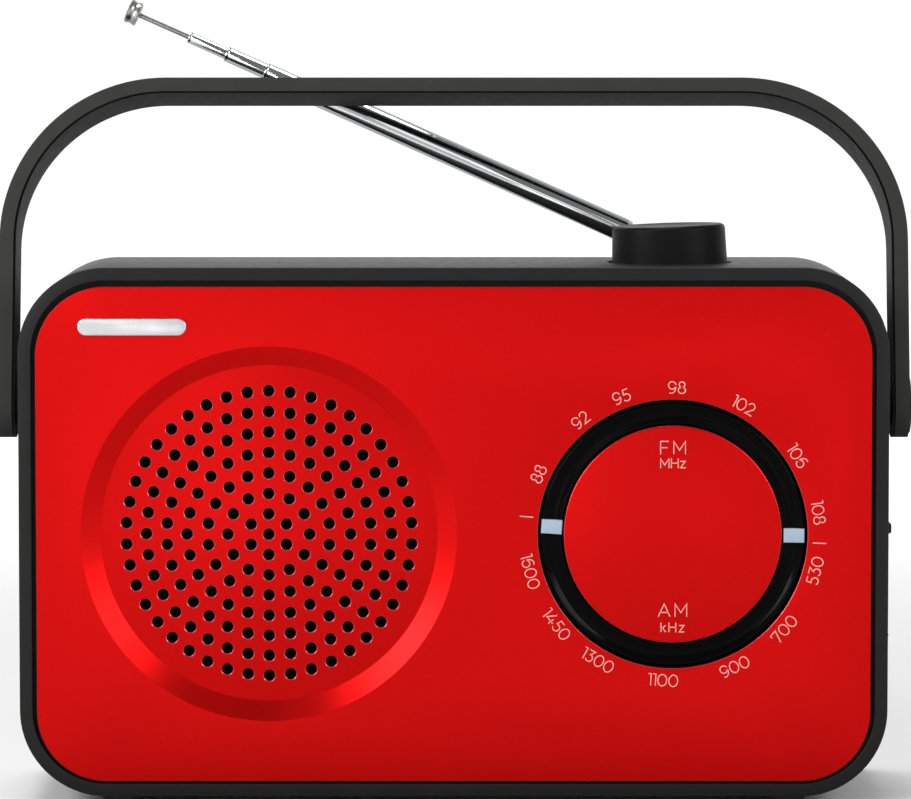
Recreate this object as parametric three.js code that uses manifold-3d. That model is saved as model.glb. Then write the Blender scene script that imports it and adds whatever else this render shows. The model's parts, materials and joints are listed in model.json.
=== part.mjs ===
// A portable table radio with a carrying handle, in millimetres.
// The front faces -Y, +X is to the right seen from the front, and +Z is up.
// The origin is on the table surface, under the middle of the cabinet.

import * as THREE from 'three';
import { mergeGeometries, mergeVertices } from 'three/addons/utils/BufferGeometryUtils.js';
import Module from 'manifold-3d';

const wasm = await Module();
wasm.setup();

// ---------------------------------------------------------------- driving dimensions

const GAP = 0.3; // between a piece and the pocket that it sits in
const SEAT = 0.1; // between two flat faces that rest on each other
const LONG = 400; // longer than the radio, for cutting tools
const CORNER_SEGMENTS = 5; // of each round corner of the cabinet

// Cabinet
const BODY_WIDTH = 240;
const BODY_HEIGHT = 146.6;
const BODY_DEPTH = 65;
const CORNER_RADIUS = 24;
const WALL = 2.6;
const FOOT_HEIGHT = 1.5;
const SEAM_Y = -16; // where the front cabinet meets the rear cabinet
const EDGE_ROUND = 1.4; // front edge of the rim
const REAR_ROUND = 3; // back edge of the rear cabinet

const HALF_WIDTH = BODY_WIDTH / 2;
const FRONT_Y = -BODY_DEPTH / 2;
const REAR_Y = BODY_DEPTH / 2;
const BODY_BOTTOM = FOOT_HEIGHT;
const BODY_TOP = FOOT_HEIGHT + BODY_HEIGHT;
const BODY_MIDDLE = (BODY_BOTTOM + BODY_TOP) / 2;
const INNER_HALF_WIDTH = HALF_WIDTH - WALL;
const INNER_REAR_Y = REAR_Y - WALL;

// Faceplate and the rim around it
const RIM_WIDTH = 3.6;
const PANEL_MARGIN = 4.7; // from the cabinet's outline to the faceplate's
const PANEL_MIDDLE = BODY_MIDDLE - 0.5; // the faceplate sits a little low in its rim
const PANEL_FRONT_Y = FRONT_Y + 0.8;
const PANEL_THICKNESS = 2.2;
const PANEL_BACK_Y = PANEL_FRONT_Y + PANEL_THICKNESS;
const FRONT_WALL_Y = PANEL_BACK_Y + GAP; // front face of the wall behind the faceplate
const FRONT_WALL_BACK_Y = FRONT_WALL_Y + 2.5;

// Speaker grille: a ring of bevel, then a dome with rings of holes
const SPEAKER_X = -51;
const SPEAKER_Z = 74.5;
const GRILLE_RADIUS = 51.9;
const DOME_RADIUS = 46.6;
const GRILLE_DEPTH = 2.6;
const GRILLE_THICKNESS = 1.8;
const CREST_RADIUS = 19.75; // the dome is level inside this
const HOLE_RINGS = 7;
const HOLE_PITCH = 5.64;
const HOLE_RADIUS = 1.6;
const SPEAKER_RADIUS = 46;

// Tuning dial
const DIAL_X = 60.4;
const DIAL_Z = 74.5;
const DIAL_HOLE_RADIUS = 37.2;
const RING_RADIUS = 36.4;
const DISC_RADIUS = 30.1;
const DISC_FRONT_Y = PANEL_FRONT_Y - 0.3;
const WEB_FRONT_Y = -27.5;
const WEB_BACK_Y = -25.5;
const POCKET_RADIUS = 38.6;
const POCKET_FLOOR_Y = -20;
const POCKET_WALL = 2;
const POST_RADIUS = 4;
const POINTER_LENGTH = 5.2; // along the ring's radius
const POINTER_WIDTH = 3.9;
const POINTER_RADIUS = 33.4;
const POINTER_FM_ANGLE = 176.4; // degrees, counter-clockwise from +X seen from the front
const POINTER_AM_ANGLE = -0.6;

// Gear pair between the dial ring and the tuning capacitor
const GEAR_TEETH = 20;
const GEAR_PITCH_RADIUS = 11;
const GEAR_MODULE = (2 * GEAR_PITCH_RADIUS) / GEAR_TEETH;
const GEAR_BACKLASH = 0.3;
const GEAR_DISTANCE = 2 * GEAR_PITCH_RADIUS + 0.15;
const PRESSURE_ANGLE = THREE.MathUtils.degToRad(20);
const CAPACITOR_Z = DIAL_Z - GEAR_DISTANCE;
const CAPACITOR_SHAFT_RADIUS = 3;

// Handle
const HANDLE_HALF_WIDTH = 126.8;
const HANDLE_THICKNESS = 4.7;
const HANDLE_DEPTH = 18;
const HANDLE_CORNER = 46;
const HANDLE_REACH = 91.5; // from the pivot to the top of the bar
const HANDLE_LEAN = THREE.MathUtils.degToRad(12.3);
const PIVOT_Y = -10;
const PIVOT_Z = 108.6;
const PIVOT_PIN_RADIUS = 3.5;
const PIVOT_CAP_RADIUS = 8;

// Volume knob on the top, standing a little off true on its shaft
const KNOB_X = 60.7;
const KNOB_Y = 1.8;
const KNOB_RADIUS = 16.2;
const KNOB_TAPER = 0.35; // how much narrower it is at the top
const KNOB_TOP = 10.4; // above the cabinet's top
const KNOB_LEAN = THREE.MathUtils.degToRad(2);
const KNOB_SHAFT_RADIUS = 3;
const KNOB_RECESS_RADIUS = 17.5;
const KNOB_RECESS_DEPTH = 1.6;
const TOP_THICKENING = 2.4; // of the cabinet's top under the knob and the hub

// Antenna, on a swivelling hub at the back of the top
const HUB_X = 55.9;
const HUB_Y = 23.5;
const HUB_RADIUS = 5.4;
const HUB_TOP = 8.6; // above the cabinet's top
const HUB_RECESS_DEPTH = 1;
const HUB_STEM_RADIUS = 3.4;
const ANTENNA_PIVOT_HEIGHT = 4.6; // above the cabinet's top
const ANTENNA_RISE = THREE.MathUtils.degToRad(23.96);
const KNUCKLE_WIDTH = 5.4;
const KNUCKLE_RADIUS = 3.2;
const SLOT_WIDTH = 6;
const PIN_RADIUS = 1.2;
const TUBE_SIDES = 12;
// Each tube: outer radius, wall, where it starts and where it ends, from the pivot
const ANTENNA_TUBES = [
  { radius: 3.5, wall: 0.25, start: 8, end: 103.5 },
  { radius: 3.15, wall: 0.2, start: 16, end: 106 },
  { radius: 2.85, wall: 0.2, start: 20.5, end: 108.5 },
  { radius: 2.55, wall: 0.25, start: 34, end: 120 },
  { radius: 2.2, wall: 0.45, start: 48, end: 132.1 },
  { radius: 1.65, wall: 0.8, start: 61.6, end: 143.7 },
];
const ANTENNA_ROD = { radius: 0.7, start: 79.4, end: 158.9 };
const ANTENNA_TIP_RADIUS = 3.4;
const ANTENNA_TIP_END = 162.5;

// Battery bay, for four C cells end to end
const CELL_RADIUS = 13.1;
const CELL_LENGTH = 50;
const CELL_Y = 16.6;
const CELL_Z = 17.7;
const BAY_HALF_LENGTH = 107;
const BAY_TOP = 33;
const BAY_FRONT_Y = 3;
const BAY_WALL = 2;
const DOOR_HALF_LENGTH = 103;
const DOOR_BOTTOM = 7;
const DOOR_TOP = 33;
const DOOR_THICKNESS = 2.2;

// Circuit board and what sits on it
const BOARD_FRONT_Y = -5;
const BOARD_THICKNESS = 1.6;
const BOARD_BACK_Y = BOARD_FRONT_Y + BOARD_THICKNESS;
const BOARD_LEFT = 3;
const BOARD_RIGHT = 116;
const BOARD_BOTTOM = 36;
const BOARD_TOP = 126;
const ROD_Y = 12; // the ferrite rod
const ROD_Z = 134;
const ROD_RADIUS = 4.8;
const WHEEL_RADIUS = 9;
const WHEEL_X = HALF_WIDTH + 2.9 - WHEEL_RADIUS;
const WHEEL_Z = 42.6;
const WHEEL_FRONT_Y = 0.4;
const WHEEL_THICKNESS = 4;
const SLIDER_Z = 73;
const SLIDER_TRAVEL = 4;
const SLIDER_REACH = 3.4; // beyond the cabinet's side
const SLIDER_Y = 3;
const SLIDER_DEPTH = 8;
const SLIDER_NUB_HEIGHT = 3;
const JACK_Y = 3;
const JACK_Z = 58;

// Mains inlet
const INLET_X = -88;
const INLET_Z = 58;
const INLET_PIN_SPACING = 8.6;
const INLET_PIN_RADIUS = 1.2;
const INLET_DEPTH = 11;

// Cabinet screws
const SCREW_WELL_RADIUS = 4.4;
const SCREW_WELL_FLOOR_Y = 10;
const SCREW_TIP_Y = -20;
const SCREW_PLACES = [
  [-100, 136],
  [100, 136],
  [-99, 40.5],
  [99, 40.5],
];

// Feet
const FOOT_RADIUS = 6;
const FOOT_X = 92;
const FOOT_FRONT_Y = -23.5; // under the front cabinet
const FOOT_REAR_Y = 22; // under the rear cabinet
const FOOT_SINK = 0.8;

// ---------------------------------------------------------------- materials

const COLOURS = {
  blackPlastic: { color: 0x1f1f1e, roughness: 0.55, metalness: 0 },
  glossBlack: { color: 0x0d0d0e, roughness: 0.12, metalness: 0 },
  redMetal: { color: 0xc41013, roughness: 0.3, metalness: 0.4 },
  silver: { color: 0xd9dadb, roughness: 0.3, metalness: 0.9 },
  pointer: { color: 0xb7c3cf, roughness: 0.4, metalness: 0 },
  chrome: { color: 0xe4e6e8, roughness: 0.08, metalness: 1 },
  steel: { color: 0xa9acae, roughness: 0.35, metalness: 1 },
  rubber: { color: 0x161616, roughness: 0.9, metalness: 0 },
  board: { color: 0x8a6b35, roughness: 0.6, metalness: 0 },
  magnet: { color: 0x3a3b3d, roughness: 0.7, metalness: 0.3 },
  paper: { color: 0x24211e, roughness: 0.95, metalness: 0 },
  ferrite: { color: 0x2c2a2a, roughness: 0.65, metalness: 0.1 },
  copper: { color: 0xb8703a, roughness: 0.4, metalness: 0.8 },
  whitePlastic: { color: 0xe6e3da, roughness: 0.5, metalness: 0 },
  cell: { color: 0x3f5f7a, roughness: 0.4, metalness: 0.2 },
};

// ---------------------------------------------------------------- geometry helpers

/** Merges the shared corners, drops faces without area and turns the faces outwards. */
function welded(geometry) {
  const bare = geometry.index ? geometry.clone() : geometry;
  bare.deleteAttribute('normal');
  bare.deleteAttribute('uv');
  const merged = mergeVertices(bare, 1e-4);
  const points = merged.attributes.position.array;
  const faces = [];
  const [a, b, c] = [new THREE.Vector3(), new THREE.Vector3(), new THREE.Vector3()];
  let volume = 0;
  for (let i = 0; i < merged.index.count; i += 3) {
    const face = [merged.index.getX(i), merged.index.getX(i + 1), merged.index.getX(i + 2)];
    if (new Set(face).size < 3) continue;
    faces.push(face);
    [a, b, c].forEach((corner, n) => corner.fromArray(points, 3 * face[n]));
    volume += a.dot(b.cross(c)) / 6;
  }
  if (volume < 0) faces.forEach((face) => face.reverse());
  merged.setIndex(faces.flat());
  return merged;
}

/** A closed geometry as a solid that can be joined and cut. */
function solid(geometry) {
  const closed = welded(geometry);
  const vertProperties = new Float32Array(closed.attributes.position.array);
  const triVerts = new Uint32Array(closed.index.array);
  return new wasm.Manifold(new wasm.Mesh({ numProp: 3, vertProperties, triVerts }));
}

/** A solid as a geometry again. */
function shell(manifold) {
  const mesh = manifold.getMesh();
  const geometry = new THREE.BufferGeometry();
  geometry.setAttribute('position', new THREE.Float32BufferAttribute(mesh.vertProperties, 3));
  geometry.setIndex(new THREE.Uint32BufferAttribute(mesh.triVerts, 1));
  return geometry;
}

/** The first solid with all the others joined to it. */
const join = (...solids) => solids.reduce((all, next) => all.add(next));

/** The first solid with all the others cut away. */
const cut = (from, ...tools) => tools.reduce((left, tool) => left.subtract(tool), from);

/** A box from its low corner to its high corner. */
function block(x0, x1, y0, y1, z0, z1) {
  const box = new THREE.BoxGeometry(x1 - x0, y1 - y0, z1 - z0);
  return box.translate((x0 + x1) / 2, (y0 + y1) / 2, (z0 + z1) / 2);
}

/** An outline in X and Z, extruded from y0 back to y1. */
function plate(shape, y0, y1, curveSegments = 12) {
  const options = { depth: y1 - y0, bevelEnabled: false, curveSegments };
  return new THREE.ExtrudeGeometry(shape, options).rotateX(Math.PI / 2).translate(0, y1, 0);
}

/** A profile of [radius, distance] points turned about a line along Y through x, z. */
function turnedY(profile, x, z, sides) {
  const points = profile.map(([r, y]) => new THREE.Vector2(r, y));
  return new THREE.LatheGeometry(points, sides).translate(x, 0, z);
}

/** A profile of [radius, height] points turned about the Z axis. */
function turnedZ(profile, sides) {
  const points = profile.map(([r, z]) => new THREE.Vector2(r, z));
  return new THREE.LatheGeometry(points, sides).rotateX(Math.PI / 2);
}

/** A profile of [radius, distance] points turned about the X axis. */
function turnedX(profile, sides) {
  const points = profile.map(([r, x]) => new THREE.Vector2(r, x));
  return new THREE.LatheGeometry(points, sides).rotateZ(-Math.PI / 2);
}

/** The profile of a plain rod between two distances. */
const rod = (radius, low, high) => [[0, low], [radius, low], [radius, high], [0, high]];

/** The profile of a ring or tube between two distances, closed on itself. */
const tube = (inner, outer, low, high) => [
  [inner, low], [outer, low], [outer, high], [inner, high], [inner, low],
];

/** A rectangle with round corners, centred on x, z. */
function roundedRectangle(halfWidth, halfHeight, radius, x = 0, z = 0) {
  const shape = new THREE.Shape();
  const right = x + halfWidth - radius;
  const left = x - halfWidth + radius;
  const top = z + halfHeight - radius;
  const bottom = z - halfHeight + radius;
  shape.absarc(right, top, radius, 0, Math.PI / 2);
  shape.absarc(left, top, radius, Math.PI / 2, Math.PI);
  shape.absarc(left, bottom, radius, Math.PI, 1.5 * Math.PI);
  shape.absarc(right, bottom, radius, 1.5 * Math.PI, 2 * Math.PI);
  shape.closePath();
  return shape;
}

/** The cabinet's outline, brought in by a margin all round. */
function cabinetOutline(margin) {
  const halfHeight = BODY_HEIGHT / 2 - margin;
  return roundedRectangle(HALF_WIDTH - margin, halfHeight, CORNER_RADIUS - margin, 0, BODY_MIDDLE);
}

/** The cabinet's outside between y0 and y1, with both of those edges rounded. */
function roundedBlock(y0, y1, radius) {
  const options = {
    depth: y1 - y0 - 2 * radius,
    bevelThickness: radius,
    bevelSize: radius,
    bevelSegments: 1,
    curveSegments: CORNER_SEGMENTS,
  };
  const outline = cabinetOutline(radius);
  return new THREE.ExtrudeGeometry(outline, options).rotateX(Math.PI / 2).translate(0, y1 - radius, 0);
}

// ---------------------------------------------------------------- the assembly

const radio = new THREE.Group();

/** Adds a named piece to a group, in one of the radio's materials. */
function piece(name, geometry, look, parent = radio) {
  const closed = geometry instanceof THREE.BufferGeometry ? welded(geometry) : shell(geometry);
  const mesh = new THREE.Mesh(closed, new THREE.MeshStandardMaterial(COLOURS[look]));
  mesh.name = name;
  parent.add(mesh);
  return mesh;
}

// ---------------------------------------------------------------- cabinet

/** Screw bosses, board bosses and the dial's pocket, behind the front wall. */
function frontCabinetInside() {
  const bosses = SCREW_PLACES.map(([x, z]) =>
    solid(turnedY(tube(1.8, 4, FRONT_WALL_BACK_Y - 1, SEAM_Y + 6), x, z, 8)));
  const boardBosses = [[12, 120], [108, 116], [12, 53]].map(([x, z]) =>
    solid(turnedY(rod(3, FRONT_WALL_BACK_Y - 1, BOARD_FRONT_Y - SEAT), x, z, 8)));
  const pocketOuter = POCKET_RADIUS + POCKET_WALL;
  const pocketBack = POCKET_FLOOR_Y + POCKET_WALL;
  const pocket = solid(turnedY(rod(pocketOuter, FRONT_WALL_Y, pocketBack), DIAL_X, DIAL_Z, 28));
  return [...bosses, ...boardBosses, pocket];
}

/** A shallow bezel with the front wall, which carries the faceplate, speaker and dial. */
function frontCabinet() {
  const outside = solid(roundedBlock(FRONT_Y, SEAM_Y + 20, EDGE_ROUND));
  const behindSeam = solid(block(-LONG, LONG, SEAM_Y, LONG, -LONG, LONG));
  const window = solid(plate(cabinetOutline(RIM_WIDTH), FRONT_Y - 5, FRONT_WALL_Y, CORNER_SEGMENTS));
  const inside = solid(plate(cabinetOutline(WALL), FRONT_WALL_BACK_Y, SEAM_Y + 5, CORNER_SEGMENTS));
  const hollow = cut(outside, behindSeam, window, inside);
  const speakerSeat = solid(
    turnedY(tube(43, 56, FRONT_WALL_BACK_Y - 0.5, FRONT_WALL_BACK_Y + 2), SPEAKER_X, SPEAKER_Z, 28));
  const speakerHole = solid(
    turnedY(rod(53.4, FRONT_Y, FRONT_WALL_BACK_Y), SPEAKER_X, SPEAKER_Z, 28));
  const pocketHole = solid(
    turnedY(rod(POCKET_RADIUS, FRONT_Y, POCKET_FLOOR_Y), DIAL_X, DIAL_Z, 28));
  const shaftHole = solid(
    turnedY(rod(CAPACITOR_SHAFT_RADIUS + GAP, FRONT_Y, SEAM_Y), DIAL_X, CAPACITOR_Z, 12));
  const filled = join(cut(hollow, speakerHole), speakerSeat, ...frontCabinetInside());
  return cut(filled, pocketHole, shaftHole, ...footPockets());
}

/** Walls of the battery bay, a column for each screw, and a thicker top under the knob and the hub. */
function rearCabinetInside() {
  const bayOuter = BAY_HALF_LENGTH + BAY_WALL;
  const bayFront = BAY_FRONT_Y - BAY_WALL;
  const floor = BODY_BOTTOM + 1;
  const rear = INNER_REAR_Y + 1;
  const bay = cut(
    solid(block(-bayOuter, bayOuter, bayFront, rear, floor, BAY_TOP + BAY_WALL)),
    solid(block(-BAY_HALF_LENGTH, BAY_HALF_LENGTH, BAY_FRONT_Y, rear + 1, floor - 1, BAY_TOP)),
  ).intersect(solid(plate(cabinetOutline(1), SEAM_Y, rear, CORNER_SEGMENTS)));
  const wells = SCREW_PLACES.map(([x, z]) =>
    solid(turnedY(rod(SCREW_WELL_RADIUS + 1.6, SCREW_WELL_FLOOR_Y - 2, rear), x, z, 10)));
  const under = BODY_TOP - WALL - TOP_THICKENING;
  const thickened = (x, y, radius, sides) =>
    solid(turnedZ(rod(radius, under, BODY_TOP - 1), sides).translate(x, y, 0));
  const knobSeat = thickened(KNOB_X, KNOB_Y, KNOB_RECESS_RADIUS, 24);
  const hubSeat = thickened(HUB_X, HUB_Y, 6.6, 16);
  return [bay, ...wells, knobSeat, hubSeat];
}

/** Everything that opens through the rear cabinet's walls. */
function rearCabinetOpenings() {
  const wells = SCREW_PLACES.flatMap(([x, z]) => [
    solid(turnedY(rod(SCREW_WELL_RADIUS, SCREW_WELL_FLOOR_Y, LONG), x, z, 10)),
    solid(turnedY(rod(2, 0, LONG), x, z, 8)),
  ]);
  const door = solid(block(
    -DOOR_HALF_LENGTH - GAP, DOOR_HALF_LENGTH + GAP, INNER_REAR_Y - 1, LONG,
    DOOR_BOTTOM - GAP, DOOR_TOP + GAP));
  const inlet = solid(block(
    INLET_X - 9.3, INLET_X + 9.3, INNER_REAR_Y - 1, LONG, INLET_Z - 5.5, INLET_Z + 5.5));
  const vents = [0, 1, 2, 3, 4, 5].map((n) =>
    solid(block(-105 + 4 * n, -103 + 4 * n, INNER_REAR_Y - 1, LONG, 74, 98)));
  return [...wells, door, inlet, ...vents, ...footPockets(), ...topOpenings(), ...sideOpenings()];
}

/** The recesses and holes for the volume knob and for the antenna's hub. */
function topOpenings() {
  const sunk = (x, y, radius, floor, sides) =>
    solid(turnedZ(rod(radius, floor, LONG), sides).translate(x, y, 0));
  return [
    sunk(KNOB_X, KNOB_Y, KNOB_RECESS_RADIUS, BODY_TOP - KNOB_RECESS_DEPTH, 28),
    sunk(KNOB_X, KNOB_Y, KNOB_SHAFT_RADIUS + 0.5, BODY_MIDDLE, 12),
    sunk(HUB_X, HUB_Y, HUB_RADIUS + 0.5, BODY_TOP - HUB_RECESS_DEPTH, 18),
    sunk(HUB_X, HUB_Y, HUB_STEM_RADIUS + 0.2, BODY_MIDDLE, 12),
  ];
}

/** The slots and holes in the two sides. */
function sideOpenings() {
  const wheelSlot = solid(block(
    INNER_HALF_WIDTH - 1, LONG, WHEEL_FRONT_Y - 0.8, WHEEL_FRONT_Y + WHEEL_THICKNESS + 0.8,
    WHEEL_Z - 8.9, WHEEL_Z + 8.9));
  const nub = SLIDER_NUB_HEIGHT / 2 + 0.4;
  const sliderSlot = solid(block(
    INNER_HALF_WIDTH - 1, LONG, SLIDER_Y - SLIDER_DEPTH / 2 - 0.4, SLIDER_Y + SLIDER_DEPTH / 2 + 0.4,
    SLIDER_Z - SLIDER_TRAVEL - nub, SLIDER_Z + nub));
  const jack = solid(
    turnedX(rod(3.7, INNER_HALF_WIDTH - 1, LONG), 12).translate(0, JACK_Y, JACK_Z));
  const pins = solid(
    turnedX(rod(PIVOT_PIN_RADIUS + 0.2, -LONG, LONG), 12).translate(0, PIVOT_Y, PIVOT_Z));
  return [wheelSlot, sliderSlot, jack, pins];
}

/** The deep rear half of the cabinet. */
function rearCabinet() {
  const outside = solid(roundedBlock(SEAM_Y - 20, REAR_Y, REAR_ROUND));
  const beforeSeam = solid(block(-LONG, LONG, -LONG, SEAM_Y + SEAT, -LONG, LONG));
  const inside = solid(plate(cabinetOutline(WALL), SEAM_Y - 5, INNER_REAR_Y, CORNER_SEGMENTS));
  const hollow = cut(outside, beforeSeam, inside);
  const pivotBosses = [-1, 1].map((side) =>
    solid(turnedX(rod(5.6, INNER_HALF_WIDTH + 1, HALF_WIDTH + 1.9), 14)
      .rotateZ(side < 0 ? Math.PI : 0).translate(0, PIVOT_Y, PIVOT_Z)));
  return cut(join(hollow, ...pivotBosses, ...rearCabinetInside()), ...rearCabinetOpenings());
}

/** The four places of the feet: two under the front cabinet and two under the rear one. */
const footPlaces = () =>
  [FOOT_FRONT_Y, FOOT_REAR_Y].flatMap((y) => [-FOOT_X, FOOT_X].map((x) => [x, y]));

/** The shallow round pockets that the feet sit in. */
const footPockets = () => footPlaces().map(([x, y]) =>
  solid(turnedZ(rod(FOOT_RADIUS + GAP, -1, BODY_BOTTOM + FOOT_SINK), 12).translate(x, y, 0)));

/** A round rubber foot, let into the cabinet's floor. */
function rubberFoot([x, y]) {
  const top = BODY_BOTTOM + FOOT_SINK - SEAT;
  const profile = [[0, 0], [FOOT_RADIUS - 0.6, 0], [FOOT_RADIUS, 0.6], [FOOT_RADIUS, top], [0, top]];
  return turnedZ(profile, 12).translate(x, y, 0);
}

/** A cabinet screw, from its well in the back to a boss behind the front wall. */
function cabinetScrew([x, z]) {
  const seat = SCREW_WELL_FLOOR_Y + SEAT;
  return turnedY([
    [0, SCREW_TIP_Y], [1.6, SCREW_TIP_Y + 2], [1.6, seat],
    [3.7, seat], [3.7, seat + 1.5], [2.2, seat + 2.5], [0, seat + 2.5],
  ], x, z, 8);
}

/** The battery door: a long cover that turns about a round lower edge. */
function batteryDoor() {
  const half = DOOR_THICKNESS / 2;
  const side = new THREE.Shape();
  side.absarc(REAR_Y - half, DOOR_BOTTOM + half, half, Math.PI, 2 * Math.PI);
  side.lineTo(REAR_Y, DOOR_TOP);
  side.lineTo(REAR_Y - DOOR_THICKNESS, DOOR_TOP);
  side.closePath();
  const options = { depth: 2 * DOOR_HALF_LENGTH, bevelEnabled: false, curveSegments: 6 };
  const leaf = new THREE.ExtrudeGeometry(side, options);
  return leaf.rotateX(Math.PI / 2).rotateZ(Math.PI / 2).translate(-DOOR_HALF_LENGTH, 0, 0);
}

// ---------------------------------------------------------------- faceplate

/** The places of the grille's holes: one in the middle, then rings of six, twelve and so on. */
function grilleHolePlaces() {
  const places = [[SPEAKER_X, SPEAKER_Z]];
  for (let ring = 1; ring <= HOLE_RINGS; ring += 1) {
    for (let n = 0; n < 6 * ring; n += 1) {
      const angle = Math.PI / 2 + (n * Math.PI) / (3 * ring);
      const reach = ring * HOLE_PITCH;
      places.push([SPEAKER_X + reach * Math.cos(angle), SPEAKER_Z + reach * Math.sin(angle)]);
    }
  }
  return places;
}

/** The faceplate with its perforated dome and the dial's hole. */
function faceplate() {
  const halfHeight = BODY_HEIGHT / 2 - PANEL_MARGIN;
  const halfWidth = HALF_WIDTH - PANEL_MARGIN;
  const outline = roundedRectangle(halfWidth, halfHeight, CORNER_RADIUS - PANEL_MARGIN, 0, PANEL_MIDDLE);
  const panel = solid(plate(outline, PANEL_FRONT_Y, PANEL_BACK_Y, CORNER_SEGMENTS));
  const dishHole = solid(
    turnedY(rod(GRILLE_RADIUS, FRONT_Y - 5, FRONT_WALL_BACK_Y), SPEAKER_X, SPEAKER_Z, 28));
  const dialHole = solid(
    turnedY(rod(DIAL_HOLE_RADIUS, FRONT_Y - 5, FRONT_WALL_BACK_Y), DIAL_X, DIAL_Z, 32));
  const edge = PANEL_FRONT_Y + GRILLE_DEPTH;
  const dish = solid(turnedY([
    [0, PANEL_FRONT_Y], [CREST_RADIUS, PANEL_FRONT_Y], [DOME_RADIUS, edge],
    [GRILLE_RADIUS, PANEL_FRONT_Y], [GRILLE_RADIUS + 1, PANEL_FRONT_Y],
    [GRILLE_RADIUS + 1, PANEL_BACK_Y], [DOME_RADIUS, edge + GRILLE_THICKNESS],
    [CREST_RADIUS, PANEL_FRONT_Y + GRILLE_THICKNESS], [0, PANEL_FRONT_Y + GRILLE_THICKNESS],
  ], SPEAKER_X, SPEAKER_Z, 20));
  const height = FRONT_WALL_BACK_Y - FRONT_Y + 5;
  const holes = grilleHolePlaces().map(([x, z]) =>
    new THREE.CylinderGeometry(HOLE_RADIUS, HOLE_RADIUS, height, 5).translate(x, FRONT_Y, z));
  return cut(join(cut(panel, dishHole, dialHole), dish), solid(mergeGeometries(holes)));
}

/** A plain capsule badge on the faceplate. */
const badgeBar = () =>
  plate(roundedRectangle(15, 2.4, 2.4, -88.5, 131.8), PANEL_FRONT_Y - 0.7, PANEL_FRONT_Y - SEAT, 5);

// ---------------------------------------------------------------- tuning dial

/** The outline of a spur gear with involute flanks, centred on x, z. */
function gearOutline(x, z, firstTooth) {
  const tipRadius = GEAR_PITCH_RADIUS + GEAR_MODULE;
  const rootRadius = GEAR_PITCH_RADIUS - 1.25 * GEAR_MODULE;
  const baseRadius = GEAR_PITCH_RADIUS * Math.cos(PRESSURE_ANGLE);
  const roll = (radius) => {
    const angle = Math.acos(Math.min(1, baseRadius / radius));
    return Math.tan(angle) - angle;
  };
  const pitchHalf = Math.PI / (2 * GEAR_TEETH) - GEAR_BACKLASH / (2 * GEAR_PITCH_RADIUS);
  const half = (radius) => pitchHalf + roll(GEAR_PITCH_RADIUS) - roll(radius);
  const heights = [rootRadius, GEAR_PITCH_RADIUS, tipRadius];
  const points = [];
  for (let n = 0; n < GEAR_TEETH; n += 1) {
    const middle = firstTooth + (2 * Math.PI * n) / GEAR_TEETH;
    const rising = heights.map((r) => [r, middle - half(Math.max(r, baseRadius))]);
    const falling = heights.toReversed().map((r) => [r, middle + half(Math.max(r, baseRadius))]);
    [...rising, ...falling].forEach(([r, angle]) =>
      points.push(new THREE.Vector2(x + r * Math.cos(angle), z + r * Math.sin(angle))));
  }
  return new THREE.Shape(points);
}

/** A pointer's block on the ring, at an angle and grown by a margin. */
function pointerBlock(degrees, margin, y0, y1) {
  const length = POINTER_LENGTH / 2 + margin;
  const width = POINTER_WIDTH / 2 + margin;
  const bar = block(POINTER_RADIUS - length, POINTER_RADIUS + length, y0, y1, -width, width);
  return bar.rotateY(-THREE.MathUtils.degToRad(degrees)).translate(DIAL_X, 0, DIAL_Z);
}

/** The dished ring that is turned by hand, with its web, hub and gear in one moulding. */
function tuningRing() {
  const bore = POST_RADIUS + 0.15;
  const ring = solid(turnedY([
    [bore, WEB_FRONT_Y], [DISC_RADIUS + 0.4, WEB_FRONT_Y], [DISC_RADIUS + 0.4, PANEL_FRONT_Y + 0.8],
    [33, PANEL_FRONT_Y + 1.7], [35.4, PANEL_FRONT_Y + 0.2], [RING_RADIUS, PANEL_FRONT_Y + 0.6],
    [RING_RADIUS, WEB_BACK_Y], [bore, WEB_BACK_Y], [bore, WEB_FRONT_Y],
  ], DIAL_X, DIAL_Z, 32));
  const gear = solid(plate(gearOutline(DIAL_X, DIAL_Z, 0), WEB_BACK_Y - 0.5, WEB_BACK_Y + 4));
  const hole = solid(turnedY(rod(bore, FRONT_Y, SEAM_Y), DIAL_X, DIAL_Z, 20));
  const pockets = [POINTER_FM_ANGLE, POINTER_AM_ANGLE].map((angle) =>
    solid(pointerBlock(angle, GAP / 2, FRONT_Y, PANEL_FRONT_Y + 2.6)));
  return cut(join(ring, gear), hole, ...pockets);
}

/** An inlaid pointer. */
const pointer = (degrees) =>
  pointerBlock(degrees, 0, PANEL_FRONT_Y + 0.9, PANEL_FRONT_Y + 2.6 - SEAT);

/** The fixed disc inside the ring, with a bevelled edge. */
const dialDisc = () => turnedY([
  [0, DISC_FRONT_Y], [DISC_RADIUS - 1, DISC_FRONT_Y], [DISC_RADIUS, DISC_FRONT_Y + 0.9],
  [DISC_RADIUS, WEB_FRONT_Y - 0.4], [0, WEB_FRONT_Y - 0.4],
], DIAL_X, DIAL_Z, 32);

/** The post that holds the disc and carries the ring. */
const dialPost = () =>
  turnedY(rod(POST_RADIUS, WEB_FRONT_Y - 0.4 + SEAT, POCKET_FLOOR_Y - SEAT), DIAL_X, DIAL_Z, 20);

/** The gear on the tuning capacitor's shaft. */
function capacitorGear() {
  const firstTooth = Math.PI / GEAR_TEETH;
  const gear = solid(plate(gearOutline(DIAL_X, CAPACITOR_Z, firstTooth), WEB_BACK_Y + 0.6, WEB_BACK_Y + 4));
  const shaft = solid(
    turnedY(rod(CAPACITOR_SHAFT_RADIUS, WEB_BACK_Y + 0.6, -12.5), DIAL_X, CAPACITOR_Z, 16));
  return join(gear, shaft);
}

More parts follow.
